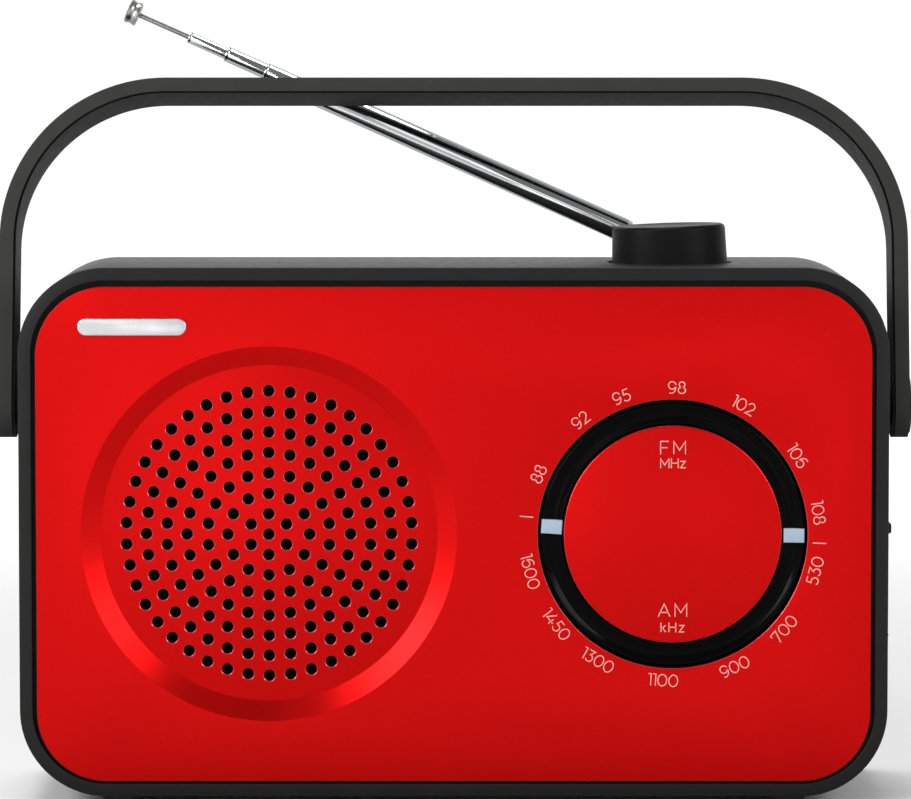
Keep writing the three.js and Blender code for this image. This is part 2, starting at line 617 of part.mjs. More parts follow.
/** The tuning capacitor's case, with a socket for its shaft. */
function tuningCapacitor() {
  const body = solid(block(
    DIAL_X - 10, DIAL_X + 10, -16.9, BOARD_FRONT_Y - SEAT, CAPACITOR_Z - 10, CAPACITOR_Z + 10));
  const socket = solid(
    turnedY(rod(CAPACITOR_SHAFT_RADIUS + 0.15, -18, -12), DIAL_X, CAPACITOR_Z, 16));
  return cut(body, socket);
}

// ---------------------------------------------------------------- speaker

/** The pressed basket, from its rim to the seat of the magnet. */
const speakerBasket = () => turnedY([
  [41, -24.1], [SPEAKER_RADIUS, -24.1], [SPEAKER_RADIUS, -22.3], [42.5, -22.3], [27, -8.2],
  [8, -8.2], [8, -9.4], [26.2, -9.4], [41, -22.9], [41, -24.1],
], SPEAKER_X, SPEAKER_Z, 20);

/** The ring magnet and its pole, with the back plate. */
const speakerMagnet = () => turnedY([
  [0, -13], [7, -13], [7, -8.1], [22, -8.1], [22, 3], [25, 3], [25, 5], [0, 5],
], SPEAKER_X, SPEAKER_Z, 18);

/** The paper cone and its surround. */
const speakerCone = () => turnedY([
  [10, -14.2], [36, -23.4], [38.5, -24.1], [40.6, -23.6], [40.6, -23.1], [38.5, -23.5],
  [36, -22.8], [10, -13.6], [10, -14.2],
], SPEAKER_X, SPEAKER_Z, 20);

/** The dust cap in the middle of the cone. */
const speakerDustCap = () =>
  turnedY([[0, -17.6], [5, -17], [9.6, -14.4], [9.6, -13.9], [0, -13.9]], SPEAKER_X, SPEAKER_Z, 12);

// ---------------------------------------------------------------- electronics

/** The circuit board, with a clearance hole for the cabinet screw that passes it. */
function circuitBoard() {
  const sheet = solid(block(BOARD_LEFT, BOARD_RIGHT, BOARD_FRONT_Y, BOARD_BACK_Y, BOARD_BOTTOM, BOARD_TOP));
  const [x, z] = SCREW_PLACES.at(-1);
  return cut(sheet, solid(turnedY(rod(2.6, -LONG, LONG), x, z, 10)));
}

/** A screened coil can on the board. */
const coilCan = (x, z) => block(x - 5, x + 5, BOARD_BACK_Y + SEAT, BOARD_BACK_Y + 13, z - 5, z + 5);

/** The ferrite antenna rod under the top. */
const ferriteRod = () => turnedX(rod(ROD_RADIUS, -78, 28), 14).translate(0, ROD_Y, ROD_Z);

/** The coil wound on the ferrite rod. */
const ferriteCoil = () =>
  turnedX(tube(ROD_RADIUS + 0.2, ROD_RADIUS + 2.4, -44, -14), 14).translate(0, ROD_Y, ROD_Z);

/** A plastic holder that hangs the ferrite rod from the top. */
function rodHolder(x) {
  const top = BODY_TOP - WALL - SEAT;
  const leaf = solid(block(x - 2, x + 2, ROD_Y - 8, ROD_Y + 8, ROD_Z - 8, top));
  const hole = solid(turnedX(rod(ROD_RADIUS + 0.2, -LONG, LONG), 14).translate(0, ROD_Y, ROD_Z));
  return cut(leaf, hole);
}

/** The tone control's case. */
const toneControl = () =>
  turnedY(rod(7, BOARD_BACK_Y + SEAT, WHEEL_FRONT_Y - 1.8), WHEEL_X - 5, WHEEL_Z, 16);

/** The tone wheel, with a fluted edge. */
function toneWheel() {
  const flutes = 18;
  const points = Array.from({ length: 2 * flutes }, (_, n) => {
    const radius = n % 2 ? WHEEL_RADIUS : WHEEL_RADIUS - 0.5;
    const angle = (Math.PI * n) / flutes;
    return new THREE.Vector2(WHEEL_X + radius * Math.cos(angle), WHEEL_Z + radius * Math.sin(angle));
  });
  return plate(new THREE.Shape(points), WHEEL_FRONT_Y, WHEEL_FRONT_Y + WHEEL_THICKNESS);
}

/** The band switch's case. */
function bandSwitch() {
  const middle = SLIDER_Z - SLIDER_TRAVEL / 2;
  return block(104, 112.6, SLIDER_Y - 5, SLIDER_Y + 5, middle - 9, middle + 9);
}

/** The band switch's slider, with the nub that stands out of the cabinet's side. */
function bandSlider() {
  const nubHalf = SLIDER_NUB_HEIGHT / 2;
  const depthHalf = SLIDER_DEPTH / 2;
  const reach = HALF_WIDTH + SLIDER_REACH;
  const carriage = solid(block(
    113, INNER_HALF_WIDTH - 0.5, SLIDER_Y - depthHalf + 1, SLIDER_Y + depthHalf - 1,
    SLIDER_Z - 4, SLIDER_Z + 3));
  const nub = new THREE.Shape();
  nub.moveTo(INNER_HALF_WIDTH - 1, SLIDER_Z - nubHalf);
  nub.lineTo(reach - 1, SLIDER_Z - nubHalf);
  nub.lineTo(reach, SLIDER_Z - 0.4);
  nub.lineTo(reach, SLIDER_Z + 0.4);
  nub.lineTo(reach - 1, SLIDER_Z + nubHalf);
  nub.lineTo(INNER_HALF_WIDTH - 1, SLIDER_Z + nubHalf);
  nub.closePath();
  return join(carriage, solid(plate(nub, SLIDER_Y - depthHalf, SLIDER_Y + depthHalf)));
}

/** The earphone socket in the right side. */
const earphoneJack = () => turnedX([
  [0, 106], [3.4, 106], [3.4, HALF_WIDTH + 0.3], [1.8, HALF_WIDTH + 0.3], [1.8, 108], [0, 108],
], 16).translate(0, JACK_Y, JACK_Z);

/** The mains transformer: a laminated core with a winding through it. */
function powerTransformer() {
  const core = solid(block(-113, -81, 9, 25, 71, 99));
  const winding = solid(block(-107, -87, 5, 29, 75, 95));
  return join(core, winding);
}

/** The two-pin mains inlet, open to the back. */
function mainsInlet() {
  const wide = 9;
  const tall = 5.2;
  const back = REAR_Y - 0.4;
  const body = solid(block(
    INLET_X - wide, INLET_X + wide, back - INLET_DEPTH - 4, back, INLET_Z - tall, INLET_Z + tall));
  const opening = roundedRectangle(wide - 1.3, tall - 1.2, tall - 1.3, INLET_X, INLET_Z);
  const mouth = solid(plate(opening, back - INLET_DEPTH, back + 1, 6));
  const pins = [-1, 1].map((side) => solid(turnedY(
    rod(INLET_PIN_RADIUS, back - INLET_DEPTH - 1, back - 1.5),
    INLET_X + (side * INLET_PIN_SPACING) / 2, INLET_Z, 10)));
  return join(cut(body, mouth), ...pins);
}

// ---------------------------------------------------------------- volume knob

/** The knob in its own frame: the cabinet's top is at height 0. */
function volumeKnob() {
  const bottom = -KNOB_RECESS_DEPTH + 0.7;
  const top = KNOB_RADIUS - KNOB_TAPER;
  const cap = solid(turnedZ([
    [0, bottom], [KNOB_RADIUS, bottom], [top, KNOB_TOP - 1.2], [top - 0.4, KNOB_TOP - 0.4],
    [top - 1.3, KNOB_TOP], [0, KNOB_TOP],
  ], 28));
  const shaft = solid(turnedZ(rod(KNOB_SHAFT_RADIUS, -10, 0), 12));
  return join(cap, shaft);
}

/** The volume control under the top, with a socket for the knob's shaft. */
function volumeControl() {
  const can = solid(turnedZ(rod(8.5, -20, -6.2), 16));
  const socket = solid(turnedZ(rod(KNOB_SHAFT_RADIUS + 0.6, -11, 0), 12));
  return cut(can, socket);
}

// ---------------------------------------------------------------- batteries

/** One C cell lying along X, with its positive nub to the right. */
function batteryCell(index) {
  const start = (index - 2) * CELL_LENGTH + SEAT;
  const end = start + CELL_LENGTH - 2 * SEAT;
  return turnedX([
    [0, start], [CELL_RADIUS - 0.8, start], [CELL_RADIUS, start + 0.8], [CELL_RADIUS, end - 2.4],
    [CELL_RADIUS - 0.8, end - 1.6], [3.6, end - 1.6], [3.6, end], [0, end],
  ], 12).translate(0, CELL_Y, CELL_Z);
}

/** A sprung contact strip, bent in a shallow V, against one end of the cells. */
function batteryContact(side) {
  const wall = BAY_HALF_LENGTH - SEAT;
  const touch = 2 * CELL_LENGTH + SEAT;
  const strip = new THREE.Shape();
  strip.moveTo(wall - 0.8, -9);
  strip.lineTo(wall, -9);
  strip.lineTo(wall, 9);
  strip.lineTo(wall - 0.8, 9);
  strip.lineTo(touch + 0.8, 3);
  strip.lineTo(touch, 3);
  strip.lineTo(touch, -3);
  strip.lineTo(touch + 0.8, -3);
  strip.closePath();
  const inner = new THREE.Path();
  inner.moveTo(wall - 0.8, -7.2);
  inner.lineTo(wall - 0.8, 7.2);
  inner.lineTo(touch + 1.4, 2.4);
  inner.lineTo(touch + 1.4, -2.4);
  inner.closePath();
  strip.holes.push(inner);
  const bent = plate(strip, -6, 6);
  return bent.rotateZ(side < 0 ? Math.PI : 0).translate(0, CELL_Y, CELL_Z);
}

// ---------------------------------------------------------------- handle

/** The handle in its own frame: the pivot line is at the origin and the bar is above it. */
function handleBail() {
  const outline = new THREE.Shape();
  const top = HANDLE_REACH;
  const inner = HANDLE_CORNER - HANDLE_THICKNESS;
  const centre = HANDLE_HALF_WIDTH - HANDLE_CORNER;
  const end = -HANDLE_DEPTH / 2;
  outline.moveTo(HANDLE_HALF_WIDTH, end);
  outline.absarc(centre, top - HANDLE_CORNER, HANDLE_CORNER, 0, Math.PI / 2);
  outline.absarc(-centre, top - HANDLE_CORNER, HANDLE_CORNER, Math.PI / 2, Math.PI);
  outline.lineTo(-HANDLE_HALF_WIDTH, end);
  outline.lineTo(-HANDLE_HALF_WIDTH + HANDLE_THICKNESS, end);
  outline.absarc(-centre, top - HANDLE_CORNER, inner, Math.PI, Math.PI / 2, true);
  outline.absarc(centre, top - HANDLE_CORNER, inner, Math.PI / 2, 0, true);
  outline.lineTo(HANDLE_HALF_WIDTH - HANDLE_THICKNESS, end);
  outline.closePath();
  const hoop = solid(plate(outline, -HANDLE_DEPTH / 2, HANDLE_DEPTH / 2, 7));

  const side = new THREE.Shape();
  side.absarc(0, 0, HANDLE_DEPTH / 2, Math.PI, 2 * Math.PI);
  side.lineTo(HANDLE_DEPTH / 2, HANDLE_REACH + 5);
  side.lineTo(-HANDLE_DEPTH / 2, HANDLE_REACH + 5);
  side.closePath();
  const options = { depth: 2 * HANDLE_HALF_WIDTH + 10, bevelEnabled: false, curveSegments: 8 };
  const profile = solid(new THREE.ExtrudeGeometry(side, options)
    .rotateX(Math.PI / 2).rotateZ(Math.PI / 2).translate(-HANDLE_HALF_WIDTH - 5, 0, 0));
  const holes = solid(turnedX(rod(PIVOT_PIN_RADIUS + 0.15, -LONG, LONG), 14));
  return cut(hoop.intersect(profile), holes);
}

/** A pivot pin with a flat cap outside the arm, for the right side. */
const pivotPin = () => turnedX([
  [0, 115], [PIVOT_PIN_RADIUS, 115], [PIVOT_PIN_RADIUS, HANDLE_HALF_WIDTH + SEAT],
  [PIVOT_CAP_RADIUS, HANDLE_HALF_WIDTH + SEAT], [PIVOT_CAP_RADIUS, HANDLE_HALF_WIDTH + 0.4],
  [PIVOT_CAP_RADIUS - 0.8, HANDLE_HALF_WIDTH + 0.8], [0, HANDLE_HALF_WIDTH + 0.8],
], 14);

// ---------------------------------------------------------------- antenna

/** The hub in its own frame: the cabinet's top is at height 0, the antenna points to -X. */
function antennaHub() {
  const bottom = -HUB_RECESS_DEPTH + 0.2;
  const body = solid(turnedZ([
    [0, bottom], [HUB_RADIUS, bottom], [HUB_RADIUS, HUB_TOP - 1], [HUB_RADIUS - 1, HUB_TOP], [0, HUB_TOP],
  ], 20));
  const slot = solid(block(-LONG, LONG, -SLOT_WIDTH / 2, SLOT_WIDTH / 2, 0.5, LONG));
  const stem = solid(turnedZ(rod(HUB_STEM_RADIUS, -8, 0), 12));
  const pinHole = solid(pinAlongY(PIN_RADIUS + 0.1, -LONG, LONG));
  return cut(join(body, stem), slot, pinHole);
}

/** A rod along Y at the height of the antenna's pivot. */
const pinAlongY = (radius, y0, y1) =>
  turnedY(rod(radius, y0, y1), 0, ANTENNA_PIVOT_HEIGHT, 12);

/** The washer that holds the hub's stem under the cabinet's top. */
function hubWasher() {
  const top = -WALL - TOP_THICKENING - SEAT;
  return turnedZ(tube(HUB_STEM_RADIUS + SEAT, 6, top - 1.5, top), 14);
}

/** The knuckle in the antenna's frame: the pivot is at the origin, the tubes go along +Z. */
function antennaKnuckle() {
  const half = KNUCKLE_WIDTH / 2;
  const eye = solid(turnedY(rod(KNUCKLE_RADIUS, -half, half), 0, 0, 16));
  const neck = solid(block(-2.2, 2.2, -half, half, 0, 8 - SEAT));
  const plug = solid(turnedZ(rod(2.9, 6, 12.5), 12));
  const hole = solid(turnedY(rod(PIN_RADIUS + 0.1, -10, 10), 0, 0, 12));
  const rounding = solid(turnedZ(rod(3.45, -10, 20), 16));
  return cut(join(eye, neck, plug), hole).intersect(rounding);
}

/** The cap on the end of the antenna. */
const antennaTip = () => {
  const start = ANTENNA_ROD.end;
  return turnedZ([
    [0, start + SEAT], [ANTENNA_TIP_RADIUS - 0.5, start + SEAT], [ANTENNA_TIP_RADIUS, start + 0.6],
    [ANTENNA_TIP_RADIUS, ANTENNA_TIP_END - 0.8], [ANTENNA_TIP_RADIUS - 0.8, ANTENNA_TIP_END],
    [0, ANTENNA_TIP_END],
  ], 16);
};

// ---------------------------------------------------------------- putting it together

function addCabinet() {
  piece('front_cabinet', frontCabinet(), 'blackPlastic');
  piece('rear_cabinet', rearCabinet(), 'blackPlastic');
  piece('faceplate', faceplate(), 'redMetal');
  piece('badge_bar', badgeBar(), 'silver');
  piece('battery_door', batteryDoor(), 'blackPlastic');
  footPlaces().forEach((place, n) => piece(`rubber_foot_${n + 1}`, rubberFoot(place), 'rubber'));
  SCREW_PLACES.forEach((place, n) => piece(`cabinet_screw_${n + 1}`, cabinetScrew(place), 'steel'));
}

function addDial() {
  piece('tuning_ring', tuningRing(), 'glossBlack');
  piece('pointer_fm', pointer(POINTER_FM_ANGLE), 'pointer');
  piece('pointer_am', pointer(POINTER_AM_ANGLE), 'pointer');
  piece('dial_disc', dialDisc(), 'redMetal');
  piece('dial_post', dialPost(), 'whitePlastic');
  piece('capacitor_gear', capacitorGear(), 'whitePlastic');
  piece('tuning_capacitor', tuningCapacitor(), 'whitePlastic');
}

function addVolumeKnob() {
  const knob = piece('volume_knob', volumeKnob(), 'blackPlastic');
  knob.position.set(KNOB_X, KNOB_Y, BODY_TOP);
  knob.rotation.y = -KNOB_LEAN;
  piece('volume_control', volumeControl(), 'steel').position.set(KNOB_X, KNOB_Y, BODY_TOP);
}

function addSpeaker() {
  piece('speaker_basket', speakerBasket(), 'steel');
  piece('speaker_magnet', speakerMagnet(), 'magnet');
  piece('speaker_cone', speakerCone(), 'paper');
  piece('speaker_dust_cap', speakerDustCap(), 'paper');
}

function addElectronics() {
  piece('circuit_board', circuitBoard(), 'board');
  piece('coil_can', coilCan(30, 104), 'silver');
  piece('ferrite_rod', ferriteRod(), 'ferrite');
  piece('ferrite_coil', ferriteCoil(), 'copper');
  piece('rod_holder_left', rodHolder(-68), 'whitePlastic');
  piece('rod_holder_right', rodHolder(18), 'whitePlastic');
  piece('tone_control', toneControl(), 'steel');
  piece('tone_wheel', toneWheel(), 'blackPlastic');
  piece('band_switch', bandSwitch(), 'steel');
  piece('band_slider', bandSlider(), 'blackPlastic');
  piece('earphone_jack', earphoneJack(), 'steel');
  piece('power_transformer', powerTransformer(), 'magnet');
  piece('mains_inlet', mainsInlet(), 'blackPlastic');
}

function addBatteries() {
  for (let n = 0; n < 4; n += 1) {
    piece(`battery_cell_${n + 1}`, batteryCell(n), 'cell');
  }
  piece('battery_contact_negative', batteryContact(-1), 'steel');
  piece('battery_contact_positive', batteryContact(1), 'steel');
}

function addHandle() {
  const leaning = new THREE.Group();
  leaning.position.set(0, PIVOT_Y, PIVOT_Z);
  leaning.rotation.x = -HANDLE_LEAN;
  radio.add(leaning);
  piece('handle', handleBail(), 'blackPlastic', leaning);
  const right = piece('handle_pivot_right', pivotPin(), 'blackPlastic');
  right.position.set(0, PIVOT_Y, PIVOT_Z);
  const left = piece('handle_pivot_left', pivotPin().rotateZ(Math.PI), 'blackPlastic');
  left.position.set(0, PIVOT_Y, PIVOT_Z);
}

function addAntenna() {
  const swivel = new THREE.Group();
  swivel.position.set(HUB_X, HUB_Y, BODY_TOP);
  radio.add(swivel);
  piece('antenna_hub', antennaHub(), 'blackPlastic', swivel);
  piece('hub_washer', hubWasher(), 'steel', swivel);
  piece('antenna_pin', pinAlongY(PIN_RADIUS, -HUB_RADIUS + 0.6, HUB_RADIUS - 0.6), 'steel', swivel);

  const tilt = new THREE.Group();
  tilt.position.z = ANTENNA_PIVOT_HEIGHT;
  tilt.rotation.y = -(Math.PI / 2 - ANTENNA_RISE);
  swivel.add(tilt);
  piece('antenna_knuckle', antennaKnuckle(), 'steel', tilt);
  ANTENNA_TUBES.forEach(({ radius, wall, start, end }, n) => {
    const section = turnedZ(tube(radius - wall, radius, start, end), TUBE_SIDES);
    piece(`antenna_tube_${n + 1}`, section, 'chrome', tilt);
  });
  const { radius, start, end } = ANTENNA_ROD;
  piece('antenna_rod', turnedZ(rod(radius, start, end), TUBE_SIDES), 'chrome', tilt);
  piece('antenna_tip', antennaTip(), 'chrome', tilt);
}

addCabinet();
addDial();
addVolumeKnob();
addSpeaker();
addElectronics();
addBatteries();
addHandle();
addAntenna();

export default radio;
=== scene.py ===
import json
import math

import bmesh
import bpy
from mathutils import Matrix, Vector


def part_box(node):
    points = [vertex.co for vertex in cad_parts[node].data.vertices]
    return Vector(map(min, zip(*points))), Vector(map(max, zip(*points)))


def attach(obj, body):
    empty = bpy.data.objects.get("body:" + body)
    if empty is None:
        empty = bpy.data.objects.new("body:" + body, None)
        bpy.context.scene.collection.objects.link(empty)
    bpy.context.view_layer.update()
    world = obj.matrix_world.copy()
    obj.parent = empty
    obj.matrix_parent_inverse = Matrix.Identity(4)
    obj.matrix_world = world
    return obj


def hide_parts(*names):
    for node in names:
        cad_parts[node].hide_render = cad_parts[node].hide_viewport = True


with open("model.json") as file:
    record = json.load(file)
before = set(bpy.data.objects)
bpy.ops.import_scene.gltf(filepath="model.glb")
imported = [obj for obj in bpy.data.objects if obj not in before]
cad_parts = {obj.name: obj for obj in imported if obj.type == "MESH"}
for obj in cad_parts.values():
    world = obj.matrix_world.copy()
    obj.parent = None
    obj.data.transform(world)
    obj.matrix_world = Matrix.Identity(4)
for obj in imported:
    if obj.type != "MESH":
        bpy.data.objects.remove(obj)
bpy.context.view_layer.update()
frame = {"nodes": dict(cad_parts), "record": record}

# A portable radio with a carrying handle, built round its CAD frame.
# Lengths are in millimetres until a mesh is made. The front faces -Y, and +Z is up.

MM = 0.001


# ---- the frame, in millimetres

class Box:
    """The box of a CAD node at rest."""

    def __init__(self, node):
        low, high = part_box(node)
        self.low = low / MM
        self.high = high / MM
        self.middle = (self.low + self.high) / 2
        self.size = self.high - self.low


BEZEL = Box("front_cabinet")
BACK = Box("rear_cabinet")
PANEL = Box("faceplate")
BASKET = Box("speaker_basket")
DISC = Box("dial_disc")
RING = Box("tuning_ring")
CONTROL = Box("volume_control")
WASHER = Box("hub_washer")
PIN = Box("antenna_pin")
TIP = Box("antenna_tip")
HANDLE = Box("handle")
PIVOT = Box("handle_pivot_right")
DOOR = Box("battery_door")
INLET = Box("mains_inlet")
WHEEL = Box("tone_wheel")
SLIDER = Box("band_slider")
JACK = Box("earphone_jack")
BADGE = Box("badge_bar")

# Cabinet
HALF_WIDTH = BEZEL.high.x
HALF_HEIGHT = BEZEL.size.z / 2
BODY_MIDDLE = BEZEL.middle.z
BODY_TOP = BEZEL.high.z
BODY_BOTTOM = BEZEL.low.z
FRONT_Y = BEZEL.low.y
SEAM_Y = BEZEL.high.y
REAR_Y = BACK.high.y
CORNER_RADIUS = 24
CORNER_STEPS = 20
WALL = 2.6
INNER_REAR_Y = REAR_Y - WALL
EDGE_ROUND = 0.45
RIM_SLOPE = 0.8  # how far the rim's outer edge lies behind its inner edge
REAR_ROUND = 3
SEAM_CHAMFER = 0.15
RIM_WIDTH = 3.6
SPEAKER_OPENING_RADIUS = 53.4
POCKET_RADIUS = 38.6  # the pocket behind the dial, and the cup that it is cut into
CUP_RADIUS = 40.6
CUP_END_Y = -18
BAY_HALF_WIDTH = 107
SCREW_BOSS_RADIUS = 6
FOOT_SOCKET_RADIUS = 6.3
OPENING_GAP = 0.3
VENTS = 6
VENT_PITCH = 4
FIRST_VENT_X = -105
VENT_Z = 86
KNOB_RECESS_RADIUS = 17.5
KNOB_RECESS_DEPTH = 1.6

# Faceplate
PANEL_CORNER = CORNER_RADIUS - (HALF_WIDTH - PANEL.high.x)
PANEL_FRONT_Y = PANEL.low.y
PANEL_BACK_Y = PANEL_FRONT_Y + 2.2
PANEL_CHAMFER = 0.4
FRONT_WALL_Y = PANEL_BACK_Y + 0.3
FRONT_WALL_BACK_Y = FRONT_WALL_Y + 2.5

# Speaker grille
GRILLE_RADIUS = 51.9
DOME_RADIUS = 46.6
DOME_DEPTH = 3.3
SHEET_THICKNESS = 1.4
HOLE_RINGS = 7
HOLE_PITCH = 5.64
HOLE_RADIUS = 1.6
HOLE_CHAMFER = 0.2

# Dial
DIAL_HOLE_RADIUS = 37.2
RING_RADIUS = RING.size.x / 2
DISC_RADIUS = DISC.size.x / 2
POINTER_ANGLES = {"pointer_fm": 176.4, "pointer_am": -0.6}
POINTER_WIDTH = 3.9
FIGURE_RADIUS = 40.6
FIGURE_HEIGHT = 3.2
STROKE = 0.28
INK_THICKNESS = 0.04

# Handle
HANDLE_HALF_WIDTH = HANDLE.high.x
HANDLE_LEAN = math.radians(12.3)
HANDLE_REACH = 91.5
HANDLE_CORNER = 46
HANDLE_THICKNESS = 4.7
HANDLE_DEPTH = 18
HANDLE_EDGE = 0.35
GROOVE_DEPTH = 1.6
HANDLE_BORE_RADIUS = 3.65
PIVOT_BOSS_RADIUS = 5.6
PIVOT_BORE_RADIUS = 3.7

# Knob and antenna
KNOB_LEAN = math.radians(2)
KNOB_RADIUS = 16.2
KNOB_TOP = 10.4
HUB_RADIUS = 5.4
HUB_TOP = 8.6
PIN_HOLE = 1.3
# Each antenna tube: outer radius, wall, start and end, from the antenna's pivot
TUBES = [
    (3.5, 0.25, 8, 103.5),
    (3.15, 0.2, 16, 106),
    (2.85, 0.2, 20.5, 108.5),
    (2.55, 0.25, 34, 120),
    (2.2, 0.45, 48, 132.1),
    (1.65, 0.8, 61.6, 143.7),
]
ROD_RADIUS = 0.7
ROD_START = 79.4
ROD_END = 158.9
TIP_END = 162.5
TIP_RADIUS = 3.4


# ---- places

UPRIGHT = Matrix.Identity(3)
ALONG_X = Matrix(((0, 0, 1), (1, 0, 0), (0, 1, 0)))  # a lathe's axis laid along +X
ALONG_Y = Matrix(((1, 0, 0), (0, 0, 1), (0, -1, 0)))  # a lathe's axis laid along +Y


def place(x, y, z, axes=UPRIGHT):
    """A placing matrix, in millimetres."""
    return Matrix.Translation((x, y, z)) @ axes.to_4x4()


HANDLE_AXIS = place(0, PIVOT.middle.y, PIVOT.middle.z, ALONG_X)
DIAL_AXIS = place(DISC.middle.x, 0, DISC.middle.z, ALONG_Y)


# ---- mesh helpers

def linked(name, data):
    """A new object in the scene, for a mesh, a light or a camera."""
    obj = bpy.data.objects.new(name, data)
    bpy.context.collection.objects.link(obj)
    return obj


def new_object(name, points, faces):
    """A mesh object from points in millimetres."""
    mesh = bpy.data.meshes.new(name)
    mesh.from_pydata([Vector(p) * MM for p in points], [], faces)
    return linked(name, mesh)


def tidy(obj, sharp=35):
    """Welds the mesh, turns its faces outwards and smooths all but its sharp edges."""
    bm = bmesh.new()
    bm.from_mesh(obj.data)
    bmesh.ops.remove_doubles(bm, verts=bm.verts, dist=2e-6)
    bmesh.ops.dissolve_degenerate(bm, edges=bm.edges, dist=1e-7)
    bmesh.ops.recalc_face_normals(bm, faces=bm.faces)
    limit = math.radians(sharp)
    for face in bm.faces:
        face.smooth = True
    for edge in bm.edges:
        edge.smooth = len(edge.link_faces) == 2 and edge.calc_face_angle(math.pi) < limit
    bm.to_mesh(obj.data)
    bm.free()
    return obj


def stacked(name, rings, closed=False, matrix=None):
    """A solid through rings of points, with flat ends, or closed round on itself."""
    count = len(rings[0])
    points = [Vector(p) for ring in rings for p in ring]
    faces = []
    for r in range(len(rings) if closed else len(rings) - 1):
        low, high = r * count, (r + 1) % len(rings) * count
        for n in range(count):
            m = (n + 1) % count
            faces.append((low + n, low + m, high + m, high + n))
    if not closed:
        faces.append(tuple(range(count)))
        faces.append(tuple(range((len(rings) - 1) * count, len(rings) * count)))
    if matrix is not None:
        points = [matrix @ p for p in points]
    return tidy(new_object(name, points, faces))


def lathe(name, profile, matrix=None, sides=64, sharp=35):
    """A profile of (radius, height) points turned about a line. A closed profile makes a ring."""
    closed = profile[0] == profile[-1]
    stations = profile[:-1] if closed else profile
    points, rows = [], []
    for radius, height in stations:
        if radius < 1e-6:
            rows.append([len(points)] * sides)
            points.append(Vector((0, 0, height)))
            continue
        rows.append(list(range(len(points), len(points) + sides)))
        for n in range(sides):
            angle = 2 * math.pi * n / sides
            points.append(Vector((radius * math.cos(angle), radius * math.sin(angle), height)))
    faces = []
    pairs = list(zip(rows, rows[1:])) + ([(rows[-1], rows[0])] if closed else [])
    for low, high in pairs:
        for n in range(sides):
            m = (n + 1) % sides
            corners = [low[n], low[m], high[m], high[n]]
            face = [c for i, c in enumerate(corners) if c != corners[i - 1]]
            if len(face) > 2:
                faces.append(face)
    if matrix is not None:
        points = [matrix @ p for p in points]
    return tidy(new_object(name, points, faces), sharp)


def cylinder(name, radius, low, high, matrix=None, sides=64):
    """A plain cylinder between two heights."""
    return lathe(name, [(0, low), (radius, low), (radius, high), (0, high)], matrix, sides)


def arc(centre, radius, start, end, steps):
    """Points on an arc, with angles in degrees."""
    return [
        (centre[0] + radius * math.cos(a), centre[1] + radius * math.sin(a))
        for a in (math.radians(start + (end - start) * n / steps) for n in range(steps + 1))
    ]


def rod(radius, low, high, edge=0.3):
    """The profile of a rod with rounded edges."""
    return [(0, low), *arc((radius - edge, low + edge), edge, -90, 0, 4),
            *arc((radius - edge, high - edge), edge, 0, 90, 4), (0, high)]


def rounded(half_width, half_height, radius, x=0, z=0, steps=CORNER_STEPS):
    """A rectangle with round corners, as (x, z) points."""
    right, left = x + half_width - radius, x - half_width + radius
    top, bottom = z + half_height - radius, z - half_height + radius
    corners = ((right, top), (left, top), (left, bottom), (right, bottom))
    return [point for n, corner in enumerate(corners)
            for point in arc(corner, radius, 90 * n, 90 * n + 90, steps)]


def outline(margin):
    """The cabinet's outline, brought in by a margin."""
    return rounded(HALF_WIDTH - margin, HALF_HEIGHT - margin, CORNER_RADIUS - margin, 0, BODY_MIDDLE)


def at_depth(flat, y):
    """(x, z) points at one depth."""
    return [(x, y, z) for x, z in flat]


def quarter_round(edge, steps=3):
    """A rounded edge: how far each station lies in from the side and back from the face."""
    return [(edge * (1 - math.sin(a)), edge * (1 - math.cos(a)))
            for a in (math.pi / 2 * n / steps for n in range(steps + 1))]


def plate(name, make, y0, y1, edge=0.3, steps=3):
    """A plate with rounded edges. make(margin) gives its outline, brought in by a margin."""
    front = [(margin, y0 + back) for margin, back in quarter_round(edge, steps)]
    back = [(margin, y1 + y0 - y) for margin, y in reversed(front)]
    return stacked(name, [at_depth(make(margin), y) for margin, y in front + back])


def block(name, low, high, edge=0.0):
    """A box from corner to corner, with bevelled edges."""
    obj = new_object(
        name,
        [(x, y, z) for x in (low[0], high[0]) for y in (low[1], high[1]) for z in (low[2], high[2])],
        [(0, 1, 3, 2), (4, 6, 7, 5), (0, 4, 5, 1), (2, 3, 7, 6), (0, 2, 6, 4), (1, 5, 7, 3)],
    )
    if edge:
        bm = bmesh.new()
        bm.from_mesh(obj.data)
        bmesh.ops.bevel(bm, geom=bm.edges[:], offset=edge * MM, segments=3, affect="EDGES", profile=0.5)
        bm.to_mesh(obj.data)
        bm.free()
    return tidy(obj)


def transformed(obj, matrix):
    """Moves the mesh itself, by a matrix in millimetres."""
    scale = Matrix.Scale(MM, 4)
    obj.data.transform(scale @ matrix @ scale.inverted())
    return obj


def carved(name, base, added=(), cut=(), sharp=35):
    """The base with other solids joined to it, then tools cut away. All of them are used up."""
    for operation, tools in (("UNION", added), ("DIFFERENCE", cut)):
        for tool in tools:
            modifier = base.modifiers.new(operation, "BOOLEAN")
            modifier.operation = operation
            modifier.solver = "MANIFOLD"
            modifier.object = tool
    depsgraph = bpy.context.evaluated_depsgraph_get()
    mesh = bpy.data.meshes.new_from_object(base.evaluated_get(depsgraph))
    for used in (base, *added, *cut):
        bpy.data.objects.remove(used)
    return tidy(linked(name, mesh), sharp)


def joined(name, parts):
    """Several meshes as one object."""
    bm = bmesh.new()
    for part in parts:
        bm.from_mesh(part.data)
        bpy.data.objects.remove(part)
    mesh = bpy.data.meshes.new(name)
    bm.to_mesh(mesh)
    bm.free()
    return linked(name, mesh)


# ---- materials

NOISE_MIDDLE = (0.3, 0.7)  # where most of a noise's values lie


